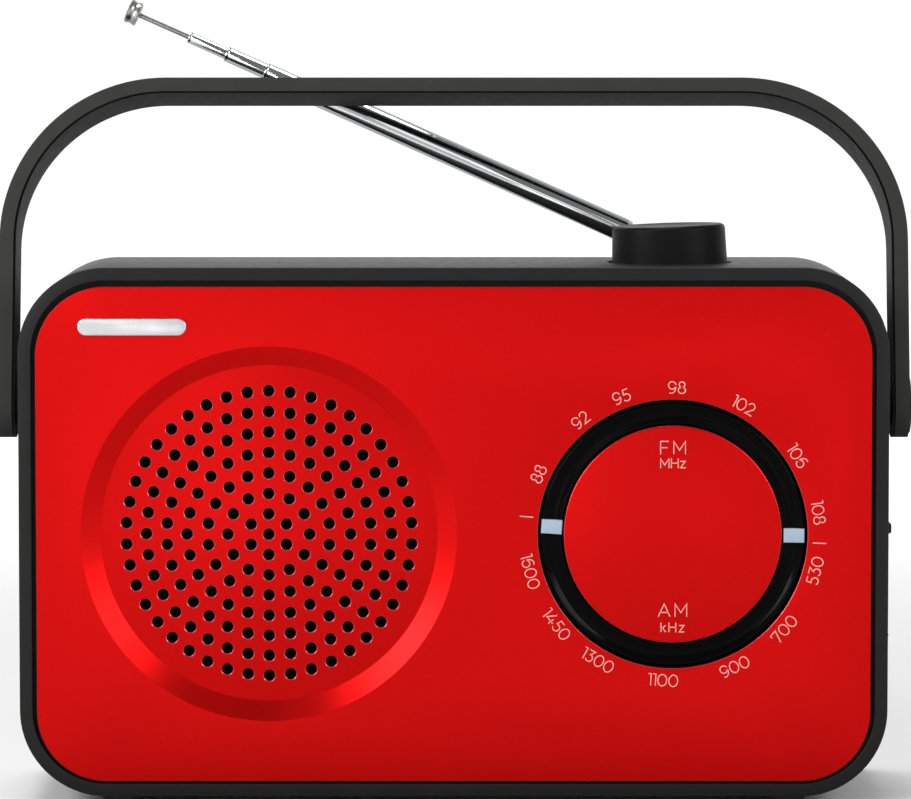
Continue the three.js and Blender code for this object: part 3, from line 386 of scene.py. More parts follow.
def mapped(tree, value, old, new, blend="LINEAR"):
    """A value whose old range is mapped to a new one."""
    span = tree.nodes.new("ShaderNodeMapRange")
    span.interpolation_type = blend
    for name, number in zip(("From Min", "From Max", "To Min", "To Max"), (*old, *new)):
        span.inputs[name].default_value = number
    tree.links.new(value, span.inputs["Value"])
    return span.outputs["Result"]


class Look:
    """A material's nodes, built up from one Principled shader."""

    def __init__(self, name, colour, roughness, metallic=0.0):
        self.material = bpy.data.materials.new(name)
        self.material.use_nodes = True
        self.nodes = self.material.node_tree.nodes
        self.links = self.material.node_tree.links
        self.shader = self.nodes["Principled BSDF"]
        self.colour = colour
        self.shader.inputs["Base Color"].default_value = (*colour, 1)
        self.shader.inputs["Roughness"].default_value = roughness
        self.shader.inputs["Metallic"].default_value = metallic
        self.coordinates = self.nodes.new("ShaderNodeTexCoord").outputs["Object"]

    def specular(self, level):
        self.shader.inputs["Specular IOR Level"].default_value = level

    def noise(self, size, detail=3.0, stretch=(1, 1, 1)):
        """Noise with features of about a size in millimetres."""
        mapping = self.nodes.new("ShaderNodeMapping")
        mapping.inputs["Scale"].default_value = [s / (size * MM) for s in stretch]
        self.links.new(self.coordinates, mapping.inputs["Vector"])
        noise = self.nodes.new("ShaderNodeTexNoise")
        noise.inputs["Scale"].default_value = 1.0
        noise.inputs["Detail"].default_value = detail
        self.links.new(mapping.outputs["Vector"], noise.inputs["Vector"])
        return noise.outputs["Fac"]

    def tint(self, factor, darker, lighter):
        """Colour that varies with the factor between two multiples of the material's own."""
        ramp = self.nodes.new("ShaderNodeValToRGB")
        for stop, position, scale in zip(ramp.color_ramp.elements, NOISE_MIDDLE, (darker, lighter)):
            stop.position = position
            stop.color = (*[min(1, c * scale) for c in self.colour], 1)
        self.links.new(factor, ramp.inputs["Fac"])
        self.links.new(ramp.outputs["Color"], self.shader.inputs["Base Color"])

    def rough(self, factor, low, high):
        """Roughness that varies with the factor."""
        rough = mapped(self.material.node_tree, factor, NOISE_MIDDLE, (low, high))
        self.links.new(rough, self.shader.inputs["Roughness"])

    def bump(self, factor, height):
        """Bumps of a height in millimetres."""
        bump = self.nodes.new("ShaderNodeBump")
        bump.inputs["Distance"].default_value = height * MM
        bump.inputs["Strength"].default_value = 1
        self.links.new(factor, bump.inputs["Height"])
        self.links.new(bump.outputs["Normal"], self.shader.inputs["Normal"])


def painted_edge_highlight(look, colour):
    """A painted highlight: a lighter colour where a chamfer turns about half way from the front to the side,
    where its edge would catch the light.
    """
    normal = look.nodes.new("ShaderNodeSeparateXYZ")
    look.links.new(look.coordinates.node.outputs["Normal"], normal.inputs["Vector"])
    front = look.nodes.new("ShaderNodeMath")
    front.operation = "ABSOLUTE"
    look.links.new(normal.outputs["Y"], front.inputs[0])
    band = look.nodes.new("ShaderNodeValToRGB")
    stops = band.color_ramp.elements
    stops[0].position, stops[0].color = 0.36, (0, 0, 0, 1)
    stops[1].position, stops[1].color = 0.79, (0, 0, 0, 1)
    for position in (0.46, 0.74):
        stops.new(position).color = (1, 1, 1, 1)
    look.links.new(front.outputs["Value"], band.inputs["Fac"])
    mix = look.nodes.new("ShaderNodeMixRGB")
    base = look.shader.inputs["Base Color"]
    look.links.new(base.links[0].from_socket, mix.inputs["Color1"])
    mix.inputs["Color2"].default_value = (*colour, 1)
    look.links.new(band.outputs["Color"], mix.inputs["Fac"])
    look.links.new(mix.outputs["Color"], base)


def moulded(name, colour, roughness, grain, height, variation, specular):
    """Moulded plastic with a fine texture."""
    look = Look(name, colour, roughness)
    look.specular(specular)
    look.tint(look.noise(9, 4), 1 - variation, 1 + variation)
    look.rough(look.noise(2.5, 5), roughness - 0.05, roughness + 0.06)
    look.bump(look.noise(grain, 2), height)
    return look.material


def metal(name, colour, roughness, stretch, height, variation):
    """Bare or plated metal with a little wear in its polish."""
    look = Look(name, colour, roughness, 1.0)
    look.tint(look.noise(6, 3), 1 - variation, 1 + variation)
    look.rough(look.noise(1.6, 5, stretch), max(0.02, roughness - 0.05), roughness + 0.05)
    look.bump(look.noise(0.9, 3, stretch), height)
    return look.material


def red_lacquer():
    """Satin lacquer over bright metal."""
    look = Look("faceplate_red", (0.46, 0.0036, 0.0036), 0.3, 0.85)
    look.tint(look.noise(0.35, 2), 0.96, 1.04)
    look.rough(look.noise(14, 4), 0.3, 0.34)
    look.bump(look.noise(0.3, 2), 0.002)
    look.specular(0.08)
    # Painted highlight: chamfers on the sheet, round its holes and on the disc are tinted lighter by the way
    # they face.
    painted_edge_highlight(look, (0.62, 0.09, 0.1))
    return look.material


# Colour, roughness, grain size and depth, how far the colour varies, specular level
MOULDED = {
    "cabinet_black": ((0.008, 0.008, 0.0078), 0.5, 0.28, 0.03, 0.06, 0.1),
    "handle_black": ((0.024, 0.024, 0.0235), 0.6, 0.3, 0.025, 0.06, 0.02),
    "knob_black": ((0.0045, 0.0045, 0.0044), 0.45, 0.4, 0.008, 0.06, 0.04),
    "inlet_black": ((0.02, 0.02, 0.02), 0.4, 0.5, 0.01, 0.06, 0.5),
    "ink": ((0.52, 0.27, 0.24), 0.55, 0.2, 0.002, 0.06, 0.2),
    "ring_gloss_black": ((0.001, 0.001, 0.0011), 0.14, 1.5, 0.002, 0.06, 0.03),
    "pointer_inlay": ((0.24, 0.3, 0.37), 0.3, 0.8, 0.002, 0.02, 0.2),
    "foot_rubber": ((0.016, 0.016, 0.016), 0.85, 0.25, 0.03, 0.06, 0.5),
    "moulded_white": ((0.7, 0.68, 0.6), 0.5, 0.5, 0.02, 0.06, 0.5),
    "magnet_grey": ((0.05, 0.05, 0.055), 0.6, 0.4, 0.03, 0.2, 0.5),
    "cone_paper": ((0.005, 0.0047, 0.0044), 0.95, 0.5, 0.12, 0.3, 0.1),
    "basket_black": ((0.006, 0.006, 0.006), 0.6, 0.6, 0.01, 0.06, 0.1),
    "board_laminate": ((0.3, 0.17, 0.06), 0.55, 0.8, 0.01, 0.12, 0.5),
    "ferrite_grey": ((0.035, 0.033, 0.033), 0.6, 0.4, 0.02, 0.2, 0.5),
    "cell_jacket": ((0.03, 0.09, 0.2), 0.3, 1.2, 0.004, 0.06, 0.5),
}
# Colour, roughness, stretch of the wear, its depth, how far the colour varies
METALS = {
    "badge_silver": ((0.5, 0.5, 0.51), 0.28, (0.05, 1, 1), 0.004, 0.05),
    "antenna_chrome": ((0.4, 0.405, 0.41), 0.06, (1, 1, 1), 0.0006, 0.02),
    "dull_nickel": ((0.26, 0.26, 0.245), 0.3, (1, 1, 1), 0.001, 0.05),
    "bright_steel": ((0.56, 0.57, 0.58), 0.3, (1, 1, 1), 0.004, 0.05),
    "coil_copper": ((0.6, 0.25, 0.1), 0.3, (6, 0.1, 0.1), 0.05, 0.15),
}
LOOKS = {
    "faceplate_red": red_lacquer(),
    **{name: moulded(name, *values) for name, values in MOULDED.items()},
    **{name: metal(name, *values) for name, values in METALS.items()},
}


def dressed(obj, look):
    """Gives a piece its material."""
    obj.data.materials.clear()
    obj.data.materials.append(LOOKS[look])
    return obj


def piece(obj, look, body, *stands_for, slot=None):
    """A finished piece: its look, its body and the CAD nodes that it stands for."""
    dressed(obj, look)
    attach(obj, body)
    if stands_for:
        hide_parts(*stands_for)
    return obj


# ---- cabinet

def front_shell():
    """The bezel: a rounded rim, the wall behind the faceplate and the dial's pocket."""
    rim = [
        (0, SEAM_Y - SEAM_CHAMFER),
        *[(EDGE_ROUND - dx, FRONT_Y + RIM_SLOPE + EDGE_ROUND - dy)
          for dx, dy in arc((0, 0), EDGE_ROUND, 0, 80, 5)],
        *[(RIM_WIDTH - 0.3 + dx, FRONT_Y + 0.3 - dy) for dx, dy in arc((0, 0), 0.3, 98, 0, 4)],
        (RIM_WIDTH, FRONT_WALL_BACK_Y),
        (WALL, FRONT_WALL_BACK_Y),
        (WALL, SEAM_Y),
        (SEAM_CHAMFER, SEAM_Y),
    ]
    frame_ring = stacked("rim", [at_depth(outline(m), y) for m, y in rim], closed=True)
    wall = stacked("wall", [at_depth(outline(3), y) for y in (FRONT_WALL_Y, FRONT_WALL_BACK_Y)])
    speaker = place(BASKET.middle.x, 0, BASKET.middle.z, ALONG_Y)
    cup = cylinder("cup", CUP_RADIUS, CUP_END_Y, FRONT_WALL_Y + 0.4, DIAL_AXIS)
    hollow = cylinder("hollow", POCKET_RADIUS, CUP_END_Y - 2, FRONT_Y, DIAL_AXIS, 96)
    opening = cylinder("opening", SPEAKER_OPENING_RADIUS, CUP_END_Y - 2, FRONT_Y, speaker, 96)
    return carved("front_shell", frame_ring, [wall, cup], [hollow, opening])


def rear_shell():
    """The deep rear half, with its battery bay and everything that opens through it."""
    rounding = [(REAR_ROUND - dx, REAR_Y - REAR_ROUND + dy) for dx, dy in arc((0, 0), REAR_ROUND, 0, 90, 6)]
    seam = SEAM_Y + 0.1
    stations = [
        (WALL, INNER_REAR_Y), (WALL, seam), (SEAM_CHAMFER, seam), (0, seam + SEAM_CHAMFER), *rounding,
    ]
    shell = stacked("shell", [at_depth(outline(m), y) for m, y in stations])
    bay = block("bay", (-BAY_HALF_WIDTH - 2, 1, BODY_BOTTOM + 1),
                (BAY_HALF_WIDTH + 2, INNER_REAR_Y + 1, 35))
    bay_bound = stacked("bound", [at_depth(outline(1), y) for y in (0, INNER_REAR_Y + 0.9)])
    inside = bay.modifiers.new("inside", "BOOLEAN")
    inside.operation = "INTERSECT"
    inside.solver = "MANIFOLD"
    inside.object = bay_bound
    bay_space = block("space", (-BAY_HALF_WIDTH, 3, BODY_BOTTOM + WALL), (BAY_HALF_WIDTH, INNER_REAR_Y, 33))
    bosses, cuts = [], [bay_space]
    for n in (1, 2, 3, 4):
        screw = Box(f"cabinet_screw_{n}")
        along = place(screw.middle.x, 0, screw.middle.z, ALONG_Y)
        bosses.append(cylinder("boss", SCREW_BOSS_RADIUS, 8, INNER_REAR_Y + 1, along, 24))
        cuts.append(lathe("well", [(0, 10), (4.4, 10), (4.4, REAR_Y - 0.5), (5, REAR_Y + 1), (0, REAR_Y + 1)],
                          along, 32))
        cuts.append(cylinder("bore", 2, 5, 12, along, 16))
        foot = Box(f"rubber_foot_{n}")
        if foot.low.y > SEAM_Y:
            under = place(foot.middle.x, foot.middle.y, 0)
            cuts.append(cylinder("socket", FOOT_SOCKET_RADIUS, -1, 2.3, under, 40))
    for side in (-1, 1):
        span = sorted((side * (HALF_WIDTH - 1), side * (HALF_WIDTH + 2.1)))
        bosses.append(cylinder("pivot", PIVOT_BOSS_RADIUS, *span, HANDLE_AXIS, 40))
    cuts.append(cylinder("pins", PIVOT_BORE_RADIUS, -200, 200, HANDLE_AXIS, 32))
    gap = OPENING_GAP
    for name, box in (("door", DOOR), ("inlet", INLET)):
        cuts.append(block(name, (box.low.x - gap, INNER_REAR_Y - 1, box.low.z - gap),
                          (box.high.x + gap, REAR_Y + 1, box.high.z + gap)))
    for n in range(VENTS):
        x = FIRST_VENT_X + VENT_PITCH * n
        cuts.append(plate("vent", lambda m, x=x: rounded(1 - m, 12 - m, 0.99 - m, x + 1, VENT_Z, 6),
                          INNER_REAR_Y - 1, REAR_Y + 1, 0.1, 1))
    knob = place(CONTROL.middle.x, CONTROL.middle.y, BODY_TOP)
    hub = place(WASHER.middle.x, WASHER.middle.y, BODY_TOP)
    radius, depth = KNOB_RECESS_RADIUS, -KNOB_RECESS_DEPTH
    recess = [(0, depth), (radius, depth), (radius, -0.3), (17.8, 0), (17.8, 5), (0, 5)]
    cuts.append(lathe("recess", recess, knob, 96))
    cuts.append(cylinder("shaft", 3.5, -9, 0, knob, 24))
    cuts.append(lathe("seat", [(0, -1), (5.9, -1), (5.9, -0.2), (6.1, 0), (6.1, 5), (0, 5)], hub, 48))
    cuts.append(cylinder("stem", 3.6, -9, 0, hub, 24))
    inside, out = HALF_WIDTH - WALL - 1, HALF_WIDTH + 5
    for name, box, gap, below, above in (("wheel_slot", WHEEL, 0.8, 8.9, 8.9),
                                         ("slider_slot", SLIDER, 0.4, 5.5, 2.3)):
        cuts.append(block(name, (inside, box.low.y - gap, box.middle.z - below),
                          (out, box.high.y + gap, box.middle.z + above)))
    jack = place(0, JACK.middle.y, JACK.middle.z, ALONG_X)
    cuts.append(cylinder("jack", 3.7, inside, out, jack, 32))
    obj = carved("rear_shell", shell, [bay, *bosses], cuts)
    bpy.data.objects.remove(bay_bound)
    return obj


def battery_door():
    """The door in the back: a leaf that turns about its round lower edge, with finger ridges."""
    thickness = DOOR.size.y
    half = thickness / 2
    top = DOOR.high.z
    profile = [
        *[(REAR_Y - half + dy, DOOR.low.z + half + dz) for dy, dz in arc((0, 0), half, 180, 360, 10)],
        (REAR_Y, top - 0.4), (REAR_Y - 0.4, top), (REAR_Y - thickness, top),
    ]
    xs = (DOOR.low.x, DOOR.low.x + 0.4, DOOR.high.x - 0.4, DOOR.high.x)
    inset = (0.4, 0, 0, 0.4)
    rings = [[(x, y - m if y > REAR_Y - 0.3 else y, z) for y, z in profile] for x, m in zip(xs, inset)]
    leaf = stacked("leaf", rings)
    thumb = plate("thumb", lambda m: rounded(11 - m, 5 - m, 4 - m, 0, top - 9, 8),
                  REAR_Y - 0.7, REAR_Y + 2, 0.2)
    ridges = [
        block("ridge", (-8, REAR_Y - 1, top - 12.2 + 2 * n), (8, REAR_Y - 0.15, top - 11.4 + 2 * n), 0.2)
        for n in range(4)
    ]
    return carved("door_leaf", carved("leaf", leaf, (), [thumb]), ridges)


def rubber_foot(n):
    """A round foot with a rounded edge and a shallow dish underneath."""
    foot = Box(f"rubber_foot_{n}")
    radius = foot.size.x / 2
    profile = [(0, 0.3), (radius - 2.4, 0.3), (radius - 1.6, 0), *arc((radius - 0.7, 0.7), 0.7, -90, 0, 4),
               (radius, foot.high.z), (0, foot.high.z)]
    return lathe(f"foot_{n}", profile, place(foot.middle.x, foot.middle.y, 0), 48)


def cabinet_screw(n):
    """A pan-head screw with a cross in its head."""
    screw = Box(f"cabinet_screw_{n}")
    along = place(screw.middle.x, 0, screw.middle.z, ALONG_Y)
    head = screw.high.y
    body = lathe("screw", [
        (0, screw.low.y), (1.6, screw.low.y + 2), (1.6, head - 2.5), (3.7, head - 2.5), (3.7, head - 1.2),
        (3.2, head - 0.5), (2.2, head - 0.1), (0, head),
    ], along, 32)
    x, z = screw.middle.x, screw.middle.z
    cross = [
        block("cross", (x - 1.9, head - 1.3, z - 0.4), (x + 1.9, head + 1, z + 0.4)),
        block("cross", (x - 0.4, head - 1.3, z - 1.9), (x + 0.4, head + 1, z + 1.9)),
    ]
    return carved(f"screw_{n}", body, (), cross)


def inlet_socket():
    """The mains inlet: a figure-of-eight mouth with two pins."""
    x, z = INLET.middle.x, INLET.middle.z
    wide, tall = INLET.size.x / 2, INLET.size.z / 2
    back = INLET.high.y
    body = plate("inlet_body", lambda m: rounded(wide - m, tall - m, 1.2 - m, x, z, 5),
                 INLET.low.y, back, 0.3)
    mouth = [(0, back - 11), (3.9, back - 11), (3.9, back - 0.3), (4.2, back + 1), (0, back + 1)]
    mouths = [lathe("mouth", mouth, place(x + side * 3.8, 0, z, ALONG_Y), 40) for side in (-1, 1)]
    middle = block("mouth", (x - 3.8, back - 11, z - 2.6), (x + 3.8, back + 1, z + 2.6))
    pins = [lathe("pin", rod(1.2, back - 12, back - 1.5, 0.5), place(x + side * 4.3, 0, z, ALONG_Y), 24)
            for side in (-1, 1)]
    return carved("inlet_socket", body, (), [*mouths, middle]), joined("inlet_pins", pins)


def tone_wheel():
    """The fluted wheel in the right side."""
    radius = WHEEL.size.z / 2
    flutes = 30
    steps = 8 * flutes
    turn = [2 * math.pi * n / steps for n in range(steps)]

    def rim(margin):
        return [
            (WHEEL.middle.x + r * math.cos(a), WHEEL.middle.z + r * math.sin(a))
            for a in turn for r in [radius - 0.2 - margin + 0.2 * math.cos(flutes * a)]
        ]

    return plate("tone_dial", rim, WHEEL.low.y, WHEEL.high.y, 0.5)


def band_slider():
    """The slider's carriage and its ribbed nub."""
    x0, x1 = SLIDER.low.x, SLIDER.high.x
    y0, y1 = SLIDER.low.y, SLIDER.high.y
    nub_z = SLIDER.middle.z + 0.5
    carriage = block("carriage", (x0, y0 + 1, SLIDER.low.z),
                     (HALF_WIDTH - WALL - 0.5, y1 - 1, SLIDER.high.z), 0.2)
    nub = block("nub", (HALF_WIDTH - WALL - 1, y0, nub_z - 1.5), (x1, y1, nub_z + 1.5), 0.6)
    return carved("slider_nub", carriage, [nub])


def earphone_socket():
    """The earphone socket's barrel and its open mouth."""
    out = JACK.high.x
    profile = [(0, 108), (1.8, 108), (1.8, out - 0.3), (2.1, out),
               (3.1, out), (3.4, out - 0.3), (3.4, 106), (0, 106)]
    return lathe("earphone_socket", profile, place(0, JACK.middle.y, JACK.middle.z, ALONG_X), 40)


# ---- faceplate

def dome_y(radius):
    """The depth of the grille's surface at a distance from its centre."""
    if radius <= DOME_RADIUS:
        return PANEL_FRONT_Y + DOME_DEPTH * (radius / DOME_RADIUS) ** 2
    slope = max(0, GRILLE_RADIUS - radius) / (GRILLE_RADIUS - DOME_RADIUS)
    return PANEL_FRONT_Y + DOME_DEPTH * slope


class Sheet:
    """A mesh in the making that welds its corners where they meet."""

    def __init__(self):
        self.points, self.faces = [], []

    def loops(self, loops):
        """Faces between loops of as many points, each closed on itself."""
        count = len(loops[0])
        start = len(self.points)
        for loop in loops:
            self.points.extend(loop)
        for r in range(len(loops) - 1):
            for n in range(count):
                m = (n + 1) % count
                low, high = start + r * count, start + (r + 1) * count
                self.faces.append((low + n, low + m, high + m, high + n))


def grille_point(x, z, back=False, sunk=0.0):
    """A point on the grille's front or back, for x and z from the grille's centre."""
    y = dome_y(math.hypot(x, z)) + (SHEET_THICKNESS if back else sunk)
    return (BASKET.middle.x + x, y, BASKET.middle.z + z)


def grille_cell(sheet, hole, edge):
    """The sheet round one hole: front, chamfer, wall and back, out to the cell's edge."""
    directions = [math.atan2(z - hole[1], x - hole[0]) for x, z in edge]

    def circle(radius):
        return [(hole[0] + radius * math.cos(a), hole[1] + radius * math.sin(a)) for a in directions]

    lip = circle(HOLE_RADIUS + HOLE_CHAMFER)
    halfway = [((a + c) / 2, (b + d) / 2) for (a, b), (c, d) in zip(edge, lip)]
    wall = circle(HOLE_RADIUS)
    sheet.loops([
        [grille_point(*p) for p in edge],
        [grille_point(*p) for p in halfway],
        [grille_point(*p) for p in lip],
        [grille_point(*p, sunk=HOLE_CHAMFER) for p in wall],
        [grille_point(*p, back=True) for p in wall],
        [grille_point(*p, back=True) for p in edge],
    ])


def perforations(sheet):
    """Rings of cells with a hole in each. Returns the outer edge of the last ring."""
    # How finely the arc between each ring and the next is divided, so that their points meet
    fineness = {1: 6, 2: 4, 3: 2, 4: 2, 5: 2, 6: 2, 7: 2}
    side_steps = 6

    def polar(radius, angle):
        return (radius * math.cos(angle), radius * math.sin(angle))

    centre_steps = 36
    centre_edge = [polar(HOLE_PITCH / 2, math.pi / 2 + 2 * math.pi * n / centre_steps)
                   for n in range(centre_steps)]
    grille_cell(sheet, (0, 0), centre_edge)
    for ring in range(1, HOLE_RINGS + 1):
        width = math.pi / 3 / ring
        inner = (ring - 0.5) * HOLE_PITCH
        outer = (ring + 0.5) * HOLE_PITCH
        inner_steps = fineness[ring - 1] * (ring - 1) if ring > 1 else centre_steps // 6
        outer_steps = fineness[ring] * (ring + 1)
        for n in range(6 * ring):
            middle = math.pi / 2 + n * width
            start, end = middle - width / 2, middle + width / 2
            edge = [polar(outer, start + width * k / outer_steps) for k in range(outer_steps)]
            edge += [polar(outer - HOLE_PITCH * k / side_steps, end) for k in range(side_steps)]
            edge += [polar(inner, end - width * k / inner_steps) for k in range(inner_steps)]
            edge += [polar(inner + HOLE_PITCH * k / side_steps, start) for k in range(side_steps)]
            grille_cell(sheet, polar(ring * HOLE_PITCH, middle), edge)
    last = (HOLE_RINGS + 0.5) * HOLE_PITCH
    count = 6 * HOLE_RINGS * fineness[HOLE_RINGS] * (HOLE_RINGS + 1)
    first = math.pi / 2 - math.pi / 6 / HOLE_RINGS
    return last, [first + 2 * math.pi * n / count for n in range(count)]


def front_panel():
    """The faceplate: a flat sheet with a chamfered edge, the perforated dome and the dial's hole."""
    sheet = Sheet()
    last, turn = perforations(sheet)
    brim = GRILLE_RADIUS + 0.6

    def circle(radius, back=False):
        return [grille_point(radius * math.cos(a), radius * math.sin(a), back) for a in turn]

    steps = 4
    radii = [last + (DOME_RADIUS - 0.15 - last) * n / steps for n in range(steps + 1)]
    radii += [DOME_RADIUS, DOME_RADIUS + 0.2, (DOME_RADIUS + GRILLE_RADIUS) / 2, GRILLE_RADIUS - 0.2,
              GRILLE_RADIUS, brim]
    sheet.loops([circle(r) for r in radii])
    sheet.loops([circle(r, back=True) for r in radii])
    back_y = PANEL_FRONT_Y + SHEET_THICKNESS

    def edge_of(margin):
        half_width, half_height = PANEL.size.x / 2 - margin, PANEL.size.z / 2 - margin
        return rounded(half_width, half_height, PANEL_CORNER - margin, 0, PANEL.middle.z)

    stations = [*((m, PANEL_FRONT_Y + back) for m, back in quarter_round(PANEL_CHAMFER)), (0, back_y)]
    rim = [at_depth(edge_of(m), y) for m, y in stations]
    sheet.loops(rim)
    sides = 128
    angles = [2 * math.pi * n / sides for n in range(sides)]

    def dial_circle(radius, y):
        return [(DISC.middle.x + radius * math.cos(a), y, DISC.middle.z + radius * math.sin(a))
                for a in angles]

    hole = [dial_circle(DIAL_HOLE_RADIUS + m, y) for m, y in stations]
    sheet.loops(hole)
    obj = new_object("front_panel", sheet.points, sheet.faces)
    bm = bmesh.new()
    bm.from_mesh(obj.data)
    for loops in ((rim[0], hole[0], circle(brim)), (rim[-1], hole[-1], circle(brim, back=True))):
        edges = []
        for loop in loops:
            verts = [bm.verts.new(Vector(p) * MM) for p in loop]
            edges += [bm.edges.new((verts[n - 1], verts[n])) for n in range(len(verts))]
        bmesh.ops.triangle_fill(bm, use_beauty=True, use_dissolve=False, edges=edges)
    bm.to_mesh(obj.data)
    bm.free()
    return tidy(obj, 24)


def badge():
    """A plain capsule badge with a rounded edge."""
    half = BADGE.size.z / 2

    def capsule(margin):
        return rounded(BADGE.size.x / 2 - margin, half - margin, half - 0.01 - margin,
                       BADGE.middle.x, BADGE.middle.z, 12)

    return plate("badge_plate", capsule, BADGE.low.y, BADGE.high.y, 0.3)


# ---- printed figures

def bow(x, y, rx, ry, start, end, steps=20):
    """Part of an ellipse as a stroke, with angles in degrees."""
    return [(x + rx * math.cos(a), y + ry * math.sin(a))
            for a in (math.radians(start + (end - start) * n / steps) for n in range(steps + 1))]


# Each figure of a plain monoline face: its width and its strokes, for a height of 1
GLYPHS = {
    "0": (0.76, [bow(0.38, 0.5, 0.38, 0.5, 0, 360, 36)]),
    "1": (0.22, [[(0, 1), (0.22, 1), (0.22, 0)]]),
    "2": (0.62, [bow(0.29, 0.7, 0.29, 0.3, 165, -38) + [(0, 0), (0.62, 0)]]),
    "3": (0.6, [[(0.03, 1), (0.56, 1), (0.25, 0.6)] + bow(0.27, 0.31, 0.31, 0.31, 80, -145)]),
    "4": (0.76, [[(0.46, 1), (0, 0.27), (0.76, 0.27)], [(0.54, 0.52), (0.54, 0)]]),
    "5": (0.6, [[(0.54, 1), (0.13, 1), (0.08, 0.58)] + bow(0.28, 0.3, 0.31, 0.3, 92, -145)]),
    "6": (0.66, [bow(0.34, 0.32, 0.32, 0.32, 0, 360, 30), bow(0.4, 0.43, 0.38, 0.57, 195, 68)]),
    "7": (0.62, [[(0, 0.82), (0, 1), (0.62, 1), (0.2, 0)]]),
    "8": (0.62, [bow(0.31, 0.76, 0.25, 0.24, 0, 360, 30), bow(0.31, 0.27, 0.31, 0.27, 0, 360, 30)]),
    "9": (0.66, [bow(0.32, 0.68, 0.32, 0.32, 0, 360, 30), bow(0.26, 0.57, 0.38, 0.57, 15, -112)]),
    "F": (0.62, [[(0, 0), (0, 1), (0.62, 1)], [(0, 0.5), (0.54, 0.5)]]),
    "M": (0.92, [[(0, 0), (0, 1), (0.46, 0.3), (0.92, 1), (0.92, 0)]]),
    "H": (0.76, [[(0, 0), (0, 1)], [(0.76, 0), (0.76, 1)], [(0, 0.52), (0.76, 0.52)]]),
    "z": (0.52, [[(0, 0.72), (0.52, 0.72), (0, 0), (0.54, 0)]]),
    "A": (0.92, [[(0, 0), (0.46, 1), (0.92, 0)], [(0.16, 0.32), (0.76, 0.32)]]),
    "k": (0.5, [[(0, 0), (0, 1)], [(0.48, 0.72), (0, 0.26)], [(0.17, 0.42), (0.52, 0)]]),
}


def stroke_ribbon(points, closed):
    """The two sides of a stroke of even width, with mitred joints."""
    half = STROKE / 2
    left, right = [], []
    count = len(points)
    for n, point in enumerate(points):
        before = points[n - 1] if n or closed else None
        after = points[(n + 1) % count] if n < count - 1 or closed else None
        arms = []
        if before is not None:
            arms.append((point - before).normalized())
        if after is not None:
            arms.append((after - point).normalized())
        along = sum(arms, Vector((0, 0))).normalized()
        across = Vector((-along.y, along.x))
        mitre = half / max(0.45, across.dot(Vector((-arms[0].y, arms[0].x))))
        if before is None or after is None:
            point = point + along * half * (0.5 if after is None else -0.5)
        left.append(point + across * mitre)
        right.append(point - across * mitre)
    return left, right


def printed(name, words, y):
    """Figures printed as thin ink. Each word has its text, height, spacing, middle and turn."""
    points, faces = [], []
    for text, height, spacing, middle, turn in words:
        widths = [GLYPHS[c][0] for c in text]
        total = sum(widths) + spacing * (len(text) - 1)
        pen = -total / 2
        spin = Matrix.Rotation(turn, 2)
        for character, width in zip(text, widths):
            for stroke in GLYPHS[character][1]:
                closed = (Vector(stroke[0]) - Vector(stroke[-1])).length < 1e-6
                corners = stroke[:-1] if closed else stroke
                path = [Vector((pen + a, b - 0.5)) * height for a, b in corners]
                add_ribbon(points, faces, [Vector(middle) + spin @ p for p in path], closed, y)
            pen += width + spacing
    return tidy(new_object(name, points, faces))


def add_ribbon(points, faces, path, closed, y):
    """A flat closed bar of ink along a path."""
    left, right = stroke_ribbon(path, closed)
    start = len(points)
    for a, b in zip(left, right):
        front = y - INK_THICKNESS
        points.extend([(a.x, y, a.y), (b.x, y, b.y), (b.x, front, b.y), (a.x, front, a.y)])
    count = len(path)
    for n in range(count if closed else count - 1):
        low, high = start + 4 * n, start + 4 * ((n + 1) % count)
        for k in range(4):
            m = (k + 1) % 4
            faces.append((low + k, low + m, high + m, high + k))
    if not closed:
        faces.append(tuple(start + k for k in range(4)))
        faces.append(tuple(start + 4 * (count - 1) + k for k in range(4)))


def dial_scale():
    """The two scales round the dial, and their names on the disc."""
    centre = Vector((DISC.middle.x, DISC.middle.z))
    # Degrees counter-clockwise from the right; the lower scale reads from inside
    upper = {"88": 155.7, "92": 128.9, "95": 110.5, "98": 88.5, "102": 61.4, "106": 32.3, "108": 8.6}
    lower = {"530": -14.4, "700": -40.4, "900": -64.9, "1100": -93.6, "1300": -120.5, "1450": -142.0,
             "1600": -165.3}

    def toward(degrees):
        angle = math.radians(degrees)
        return Vector((math.cos(angle), math.sin(angle)))

    words = []
    for scale, flip in ((upper, -math.pi / 2), (lower, math.pi / 2)):
        for text, degrees in scale.items():
            middle = centre + FIGURE_RADIUS * toward(degrees)
            words.append((text, FIGURE_HEIGHT, 0.19, middle, math.radians(degrees) + flip))
    figures = printed("dial_figures", words, PANEL_FRONT_Y)
    points, faces = [], []
    for degrees, slant in ((-3.5, -2), (173.1, -4)):
        middle = centre + FIGURE_RADIUS * toward(degrees)
        along = 1.8 * toward(slant)
        add_ribbon(points, faces, [middle - along, middle + along], False, PANEL_FRONT_Y)
    ends = tidy(new_object("dial_ends", points, faces))
    names = [(text, height, spacing, centre + Vector((0, up)), 0) for text, height, spacing, up in (
        ("FM", 3.5, 0.42, 24.0), ("MHz", 2.5, 0.26, 19.7), ("AM", 3.5, 0.4, -21.0), ("kHz", 2.5, 0.38, -25.8),
    )]
    return joined("dial_scale", [figures, ends]), printed("disc_names", names, DISC.low.y)


# ---- dial

